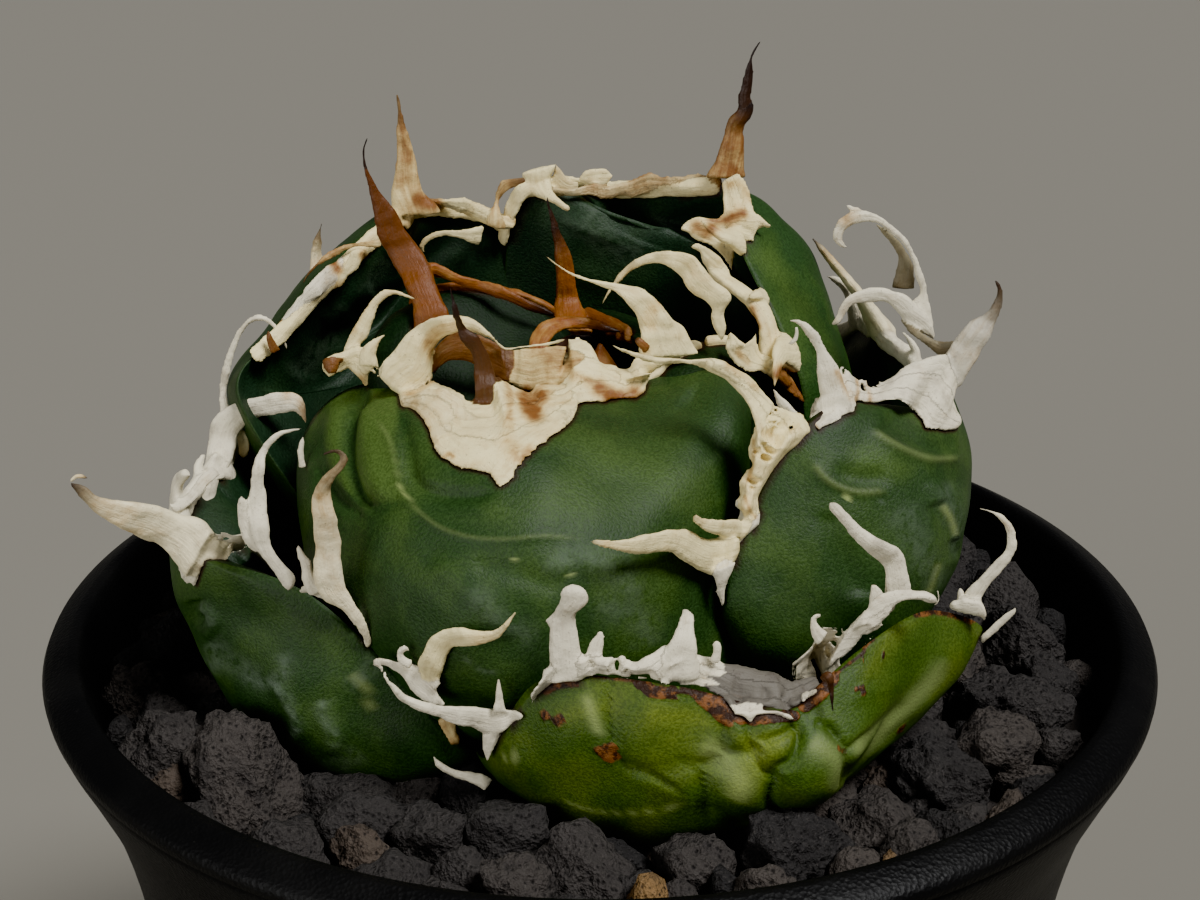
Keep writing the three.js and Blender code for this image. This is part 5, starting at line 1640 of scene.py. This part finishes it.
leafColours = {
    "leaf_deep": ((0.02, 0.048, 0.011), (0.066, 0.118, 0.022)),
    "leaf_bright": ((0.042, 0.082, 0.009), (0.135, 0.172, 0.012)),
    "leaf_tall": ((0.02, 0.055, 0.012), (0.07, 0.13, 0.02)),
    # painted shade: a much darker copy of the leaf colours for the inner leaves, which stand in shade at the
    # heart of the rosette
    "leaf_inner": ((0.006, 0.017, 0.005), (0.018, 0.04, 0.008)),
}
hornColours = {
    "horn_cream": ((0.9, 0.77, 0.38), (0.2, 0.075, 0.015)),
    "horn_young": ((0.4, 0.2, 0.06), (0.21, 0.06, 0.006)),
}
finishes = {name: leafFinish(name, *colours) for name, colours in leafColours.items()}
finishes.update({name: hornFinish(name, *colours) for name, colours in hornColours.items()})


# Marks on the leaves, traced in the photograph

def insideShape(seen, outline):
    inside = np.zeros(len(seen), bool)
    for (ax, ay), (bx, by) in zip(outline, outline[1:] + outline[:1]):
        crosses = (ay > seen[:, 1]) != (by > seen[:, 1])
        edge = ax + (seen[:, 1] - ay) * (bx - ax) / (by - ay if by != ay else 1e-9)
        inside ^= crosses & (seen[:, 0] < edge)
    return inside


def markFlesh(mesh, leaf):
    points = toMillimetres(vertexPlaces(mesh))
    normals = vertexNormals(mesh)
    seen = toPhoto(points)
    eye = photoAxes()[0]
    facing = smoothStep(0.02, 0.2, -(normals * unit(points - eye)).sum(axis=1))
    move = np.zeros(len(points))
    pale, light, scab, wax = (np.zeros(len(points)) for k in range(4))
    for height, width, line in leaf.get("ridges", []):
        gap, fade = trailGap(seen, line)
        move += height * fade * np.exp(-((gap / width) ** 2))
    for height, width, x, y in leaf.get("puffs", []):
        gap = np.hypot(seen[:, 0] - x, seen[:, 1] - y) / photo["scale"]
        move += height * np.exp(-(gap / width) ** 2)
    for masks, key in ((pale, "pale"), (wax, "wax"), (scab, "scabs")):
        for strength, width, line in leaf.get(key, []):
            gap, fade = trailGap(seen, line)
            soft = np.exp(-((gap / width) ** 2)) * fade
            if key == "scabs":
                soft = 1 - smoothStep(0.7, 1.1, gap / width)
            masks[:] = np.maximum(masks, strength * soft)
    for strength, soft, outline in leaf.get("patches", []):
        gap, fade = trailGap(seen, outline + outline[:1])
        inside = insideShape(seen, outline)
        depth = np.where(inside, 1, 0) * smoothStep(0, soft, gap)
        light = np.maximum(light, strength * depth)
    points = points + normals * (move * facing)[:, None]
    setVertexPlaces(mesh, toMetres(points))
    return pale * facing, light * facing, scab * facing, wax * facing


def meshTree(mesh):
    return BVHTree.FromPolygons(
        [Vector(p) for p in vertexPlaces(mesh)], [tuple(f.vertices) for f in mesh.polygons])


leafTone = {"front": "leaf_bright", "tall": "leaf_tall"}


def buildLeaf(name, leaf):
    flesh, s, v, side = makeFlesh(name, leaf)
    fleshMesh = flesh.data
    pale, light, scab, wax = markFlesh(fleshMesh, leaf)
    horn = makeHorn(name, leaf, meshTree(fleshMesh))
    hornTree = meshTree(horn.data)
    gaps = np.array([hornTree.find_nearest(Vector(p), 0.004)[3] or 0.004 for p in vertexPlaces(fleshMesh)])
    line = 1 - smoothStep(0.00015, 0.0006, gaps)
    # painted shade: 1 on the inner face of the flesh, which the finish darkens
    inner = (side < 0).astype(float)
    paint(fleshMesh, "marks", pale, light, scab)
    paint(fleshMesh, "cover", line, wax, inner)
    # the inner leaves take the darker finish, painted shade
    tone = "leaf_inner" if name.startswith("inner_") else leafTone.get(name, "leaf_deep")
    hornTone = "horn_young" if name in ("inner_left", "inner_right") else "horn_cream"
    leafSlot = "leaf_bright" if name in ("front", "tall") else "leaf"
    settle(flesh, name + "_leaf", finishes[tone])
    settle(horn, name + "_horn", finishes[hornTone])
    print("leaf", name, len(fleshMesh.polygons), len(horn.data.polygons))
    return flesh, horn


grown = {name: buildLeaf(name, leaf) for name, leaf in leaves.items()}


# Bud and stem

bud = {
    "profile": [(0.2, 27.5), (4, 27.8), (5, 31), (4, 36), (2, 40), (0.2, 43)],
    "folds": 3,
}


def makeBud():
    shell, share, turn = roundShell(48, 80)
    sides = curveThrough([(r, z, 0) for r, z in bud["profile"]], share)
    fold = 1 + 0.1 * np.cos(bud["folds"] * turn + 0.16 * sides[:, 1])
    radius = sides[:, 0] * fold * 0.94
    radius = radius * awayFromPoles(share)
    points = np.column_stack([radius * np.cos(turn), radius * np.sin(turn), sides[:, 1]])
    moveTo(shell, toMetres(points))
    piece = makeObject("furled_bud", shell)
    shadeSmooth(piece.data)
    paint(piece.data, "wear", 0.0, 0.8, 0.0)
    settle(piece, "bud", finishes["horn_young"])
    print("bud made")


makeBud()


def stemFinish():
    paintwork = Finish("stem_fibre")
    fibre = paintwork.grain(1.2, 4, 0.6, warp=1.0)
    colour = paintwork.blend((0.2, 0.22, 0.09), (0.4, 0.42, 0.2), fibre)
    return paintwork.finish(colour, 0.7 + fibre * 0.1, fibre, 0.2)


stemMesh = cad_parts["stem"].data
stemMesh.materials.clear()
stemMesh.materials.append(stemFinish())


# Pot

pot = {
    "outer": [
        (42, 0), (44.6, 0), (46.2, 1.4), (47.4, 8), (54.7, 50), (56.6, 66), (57.7, 74), (58.8, 80),
        (59.7, 84), (60.5, 87), (61.4, 90), (62.6, 93), (64, 96), (65.4, 99), (66.9, 102), (67.45, 103.4)],
    "rim": [
        (67.35, 103.75), (67.75, 104.1), (67.9, 105), (67.5, 105.9), (66.2, 106.6), (64.8, 107.4),
        (63.9, 107.6)],
    "inner": [(63.3, 107.3), (62.8, 106), (62.2, 104), (60.2, 95), (56.4, 80), (44.2, 4)],
    "floor": [(6, 4), (6, 2), (41, 2), (42, 0)],
    "steps": 180,
}


def makePot():
    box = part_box("pot")
    widest = max(r for r, z in pot["rim"])
    fit = 0.9999 * min(box[1][0], box[1][1]) * 1000 / widest
    profile = pot["outer"] + pot["rim"] + pot["inner"] + pot["floor"]
    shell = bmesh.new()
    line = [shell.verts.new((r * fit * 0.001, 0, z * 0.001)) for r, z in profile]
    edges = [shell.edges.new(pair) for pair in zip(line, line[1:])]
    bmesh.ops.spin(
        shell, geom=line + edges, cent=(0, 0, 0), axis=(0, 0, 1), angle=2 * math.pi,
        steps=pot["steps"], use_merge=True)
    bmesh.ops.remove_doubles(shell, verts=shell.verts, dist=1e-6)
    bmesh.ops.recalc_face_normals(shell, faces=shell.faces)
    piece = makeObject("round_pot", shell)
    shadeSmooth(piece.data)
    settle(piece, "pot", potFinish())
    print("pot made")


def potFinish():
    paintwork = Finish("black_plastic")
    pebble = paintwork.cells(0.5)
    fine = paintwork.grain(0.3, 2)
    cloud = paintwork.grain(14, 3)
    dust = paintwork.between(paintwork.grain(0.8, 2, 0.7), 0.72, 0.8)
    colour = paintwork.blend(
        (0.003, 0.003, 0.0032), (0.007, 0.0068, 0.0066), paintwork.between(cloud, 0.4, 0.8))
    colour = paintwork.blend(colour, (0.09, 0.085, 0.08), dust * 0.35)
    roughness = 0.36 + cloud * 0.14 + fine * 0.14
    bump = pebble * 0.8 + fine * 0.4
    return paintwork.finish(colour, roughness, bump, 0.09, {"Specular IOR Level": 0.14})


makePot()


# Lava stones

stones = {
    # place of the middle, radius and tone of the stones that the eye meets first
    "chosen": [
        (-40.5, -32.0, -0.5, 7.4, 0.62), (-50.5, -22.0, -0.5, 5.4, 0.5), (-26.5, -38.5, 0.0, 5.0, 0.3),
        (-33.5, -44.5, 0.5, 4.6, 0.42), (-18.5, -41.5, 0.0, 4.4, 0.35), (-10.0, -41.0, 1.0, 5.0, 0.25),
        (-2.0, -47.5, 0.5, 4.9, 0.5), (-9.5, -51.5, 1.0, 4.2, 0.6), (9.5, -46.0, 0.0, 4.6, 0.55),
        (20.0, -45.0, 0.5, 5.6, 0.12), (31.5, -38.0, -0.5, 5.0, 0.6), (40.0, -28.5, 0.0, 5.6, 0.2),
        (33.0, -46.0, 1.5, 3.6, 0.6), (31.5, -47.5, 1.0, 2.2, 0.97), (5.0, -54.0, 1.0, 2.6, 1.0),
        (50.0, -12.0, 0.0, 6.4, 0.3), (46.0, -23.0, 1.0, 4.6, 0.7), (53.5, 3.0, -0.5, 5.6, 0.35),
        (52.0, 16.0, -0.5, 6.2, 0.45), (44.0, 31.0, -1.0, 5.6, 0.3), (-55.5, -8.0, -1.5, 5.2, 0.6),
        (-44.0, -40.5, 1.5, 3.6, 0.4),
    ],
    # how many, smallest and largest radius, height of the tops
    "layers": [(60, 4.0, 6.2, 3.5), (90, 2.8, 4.0, 2.5), (70, 3.4, 5.0, -1.0), (130, 1.7, 2.7, 1.0)],
    "wall": 61.0,
}


def leafTrees():
    return [meshTree(flesh.data) for flesh, horn in grown.values()]


def clearOfLeaves(trees, spot, size):
    place = Vector(toMetres(spot))
    for tree in trees:
        near, normal, index, gap = tree.find_nearest(place, 0.012)
        if near is not None and ((place - near).dot(normal) < 0 or gap < size * 0.0006):
            return False
    return True


def stonePlaces(chance):
    trees = leafTrees()
    placed = [(np.array(stone[:3]), stone[3], stone[4]) for stone in stones["chosen"]]
    for count, smallest, largest, top in stones["layers"]:
        for k in range(count):
            size = chance.uniform(smallest, largest)
            for attempt in range(60):
                radius = (stones["wall"] - 0.9 * size) * math.sqrt(chance.uniform(0.02, 1))
                turn = chance.uniform(0, 2 * math.pi)
                height = top - size + chance.uniform(-1.2, 0.6) + (1.0 if radius > 50 else 0)
                spot = np.array([radius * math.cos(turn), radius * math.sin(turn), height])
                near = (
                    np.linalg.norm(spot - other) < 0.8 * (size + reach) for other, reach, tone in placed)
                if not any(near) and clearOfLeaves(trees, spot, size):
                    placed.append((spot, size, 0.9 * chance.random() ** 1.4))
                    break
    return placed


def stoneShape(chance, size, fine):
    # a broken lump: a ball cut by random planes, knobbed and pitted
    shell = bmesh.new()
    bmesh.ops.create_icosphere(shell, subdivisions=fine, radius=1)
    ways = np.array([vert.co.normalized() for vert in shell.verts])
    radius = np.full(len(ways), 1.25)
    for cut in range(9):
        face = unit(np.array([chance.gauss(0, 1) for axis in range(3)]))
        facing = np.maximum(ways @ face, 0.05)
        radius = np.minimum(radius, chance.uniform(0.7, 0.98) / facing)
    seed = chance.uniform(0, 90)
    points = ways * radius[:, None]
    knobs = np.array([noise.voronoi(Vector(p * 2.1 + seed))[0][0] for p in points])
    radius = radius * (1 + 0.2 * (0.45 - knobs) + 0.1 * lumps(points, 0.7, seed))
    if fine > 3:
        pits = np.array([noise.voronoi(Vector(p * 5.2 + seed))[0][0] for p in points])
        radius = radius - 0.11 * (1 - smoothStep(0.12, 0.4, pits)) + 0.05 * lumps(points, 0.16, seed)
    stretch = np.array([chance.uniform(0.85, 1.2), chance.uniform(0.8, 1.1), chance.uniform(0.75, 1.05)])
    turnBy = Vector([chance.gauss(0, 1) for axis in range(3)]).normalized()
    rotation = np.array(Matrix.Rotation(chance.uniform(0, 6.28), 3, turnBy))
    return shell, (ways * radius[:, None] * stretch * size) @ rotation.T


def makeStones():
    chance = random.Random(11)
    placed = stonePlaces(chance)
    halves = {"front_stones": [], "back_stones": []}
    for k, (spot, size, tone) in enumerate(placed):
        seen = spot[1] < 12 and size > 2.8 and spot[2] > -4 and math.hypot(spot[0], spot[1]) > 34
        fine = 2 if size < 2.8 else 3
        if seen:
            fine = 5 if k < len(stones["chosen"]) and size > 5 else 4
        shell, points = stoneShape(chance, size, fine)
        moveTo(shell, toMetres(points + spot))
        half = "front_stones" if spot[1] < 0 else "back_stones"
        halves[half].append((shell, tone))
    finish = stoneFinish()
    for name, shapes in halves.items():
        tones = np.concatenate([np.full(len(shell.verts), tone) for shell, tone in shapes])
        piece = makeObject(name, joinShells([shell for shell, tone in shapes]))
        shadeSmooth(piece.data)
        paint(piece.data, "tone", tones, 0.0, 0.0)
        settle(piece, "gravel", finish)
        print(name, len(shapes), len(piece.data.polygons))


def stoneFinish():
    paintwork = Finish("lava_stone")
    tone, spare, other = paintwork.masks("tone")
    stops = [(0.0, (0.019, 0.018, 0.018)), (0.45, (0.04, 0.036, 0.034)), (0.8, (0.064, 0.054, 0.047)),
             (0.94, (0.08, 0.06, 0.045)), (1.0, (0.24, 0.14, 0.055))]
    body = paintwork.add("ShaderNodeValToRGB", {"stops": stops}, {0: tone}, "Color")
    pits = paintwork.cells(0.8)
    tiny = paintwork.cells(0.33)
    fine = paintwork.grain(0.45, 4, 0.75)
    broad = paintwork.grain(3, 3, 0.6)
    # painted shade: the pits of the bump are darkened almost to black
    pitShade = 1 - paintwork.between(pits + fine * 0.4, 0.3, 0.62)
    colour = paintwork.blend(body, (0.115, 0.102, 0.093), paintwork.between(fine, 0.52, 0.8) * 0.55)
    colour = paintwork.blend(colour, (0.02, 0.018, 0.018), paintwork.between(broad, 0.5, 0.7) * 0.5)
    colour = paintwork.blend(colour, (0.006, 0.005, 0.005), pitShade * 0.85)
    bump = pits + tiny * 0.5 + fine * 0.8
    return paintwork.finish(colour, 0.85 + fine * 0.12, bump, 0.55, {"Specular IOR Level": 0.25})


bed = {
    "radius": 0.0600,
    "top": 0.0965,
    "deep": 0.01,
    "taper": 0.95,
}


def makeBed():
    # grit between the stones
    shell = bmesh.new()
    bmesh.ops.create_circle(shell, cap_ends=True, segments=120, radius=1)
    bmesh.ops.inset_individual(shell, faces=shell.faces, thickness=0.02)
    for vert in shell.verts:
        vert.co = Vector((vert.co.x * bed["radius"], vert.co.y * bed["radius"], bed["top"]))
    made = bmesh.ops.extrude_face_region(shell, geom=list(shell.faces))
    for item in made["geom"]:
        if isinstance(item, bmesh.types.BMVert):
            item.co.z -= bed["deep"]
            item.co.x *= bed["taper"]
            item.co.y *= bed["taper"]
    bmesh.ops.recalc_face_normals(shell, faces=shell.faces)
    piece = makeObject("grit_bed", shell)
    paintwork = Finish("dark_grit")
    fine = paintwork.grain(1.0, 4, 0.7)
    colour = paintwork.blend((0.01, 0.009, 0.008), (0.06, 0.05, 0.045), fine)
    material = paintwork.finish(colour, 0.9 + fine * 0.05, fine, 0.6)
    piece.data.materials.append(material)
    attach(piece, "root")
    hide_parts("gravel")


makeStones()
makeBed()


# Studio

studio = {
    "floor": (0.183, 0.172, 0.144),
    "look": "AgX - Punchy",
    # where the soft sun stands, how wide it is in degrees and how strong
    "sun": ((0.42, -0.35, 0.85), 22, 7.3),
    "fill": ((-0.75, -0.8, 0.3), 0.7, 13),
    "world": ((0.3, 0.3, 0.3), 0.62),
}


def hang(light, place, target):
    lamp = bpy.data.objects.new(light.name, light)
    lamp.location = place
    lamp.rotation_euler = (Vector(target) - Vector(place)).to_track_quat("-Z", "Y").to_euler()
    bpy.context.collection.objects.link(lamp)


def makeStudio():
    shell = bmesh.new()
    bmesh.ops.create_grid(shell, x_segments=2, y_segments=2, size=4)
    floor = makeObject("floor", shell)
    paintwork = Finish("pale_floor")
    floor.data.materials.append(paintwork.finish((*studio["floor"], 1), 0.9))
    place, spread, power = studio["sun"]
    sun = bpy.data.lights.new("sun", "SUN")
    sun.angle = math.radians(spread)
    sun.energy = power
    hang(sun, place, (0, 0, 0))
    place, size, power = studio["fill"]
    fill = bpy.data.lights.new("fill", "AREA")
    fill.size = size
    fill.energy = power
    hang(fill, place, (0, 0, 0.12))
    world = bpy.data.worlds.new("studio")
    world.use_nodes = True
    colour, strength = studio["world"]
    world.node_tree.nodes["Background"].inputs["Color"].default_value = (*colour, 1)
    world.node_tree.nodes["Background"].inputs["Strength"].default_value = strength
    bpy.context.scene.world = world
    bpy.context.scene.view_settings.look = studio["look"]


makeStudio()
print("studio set")
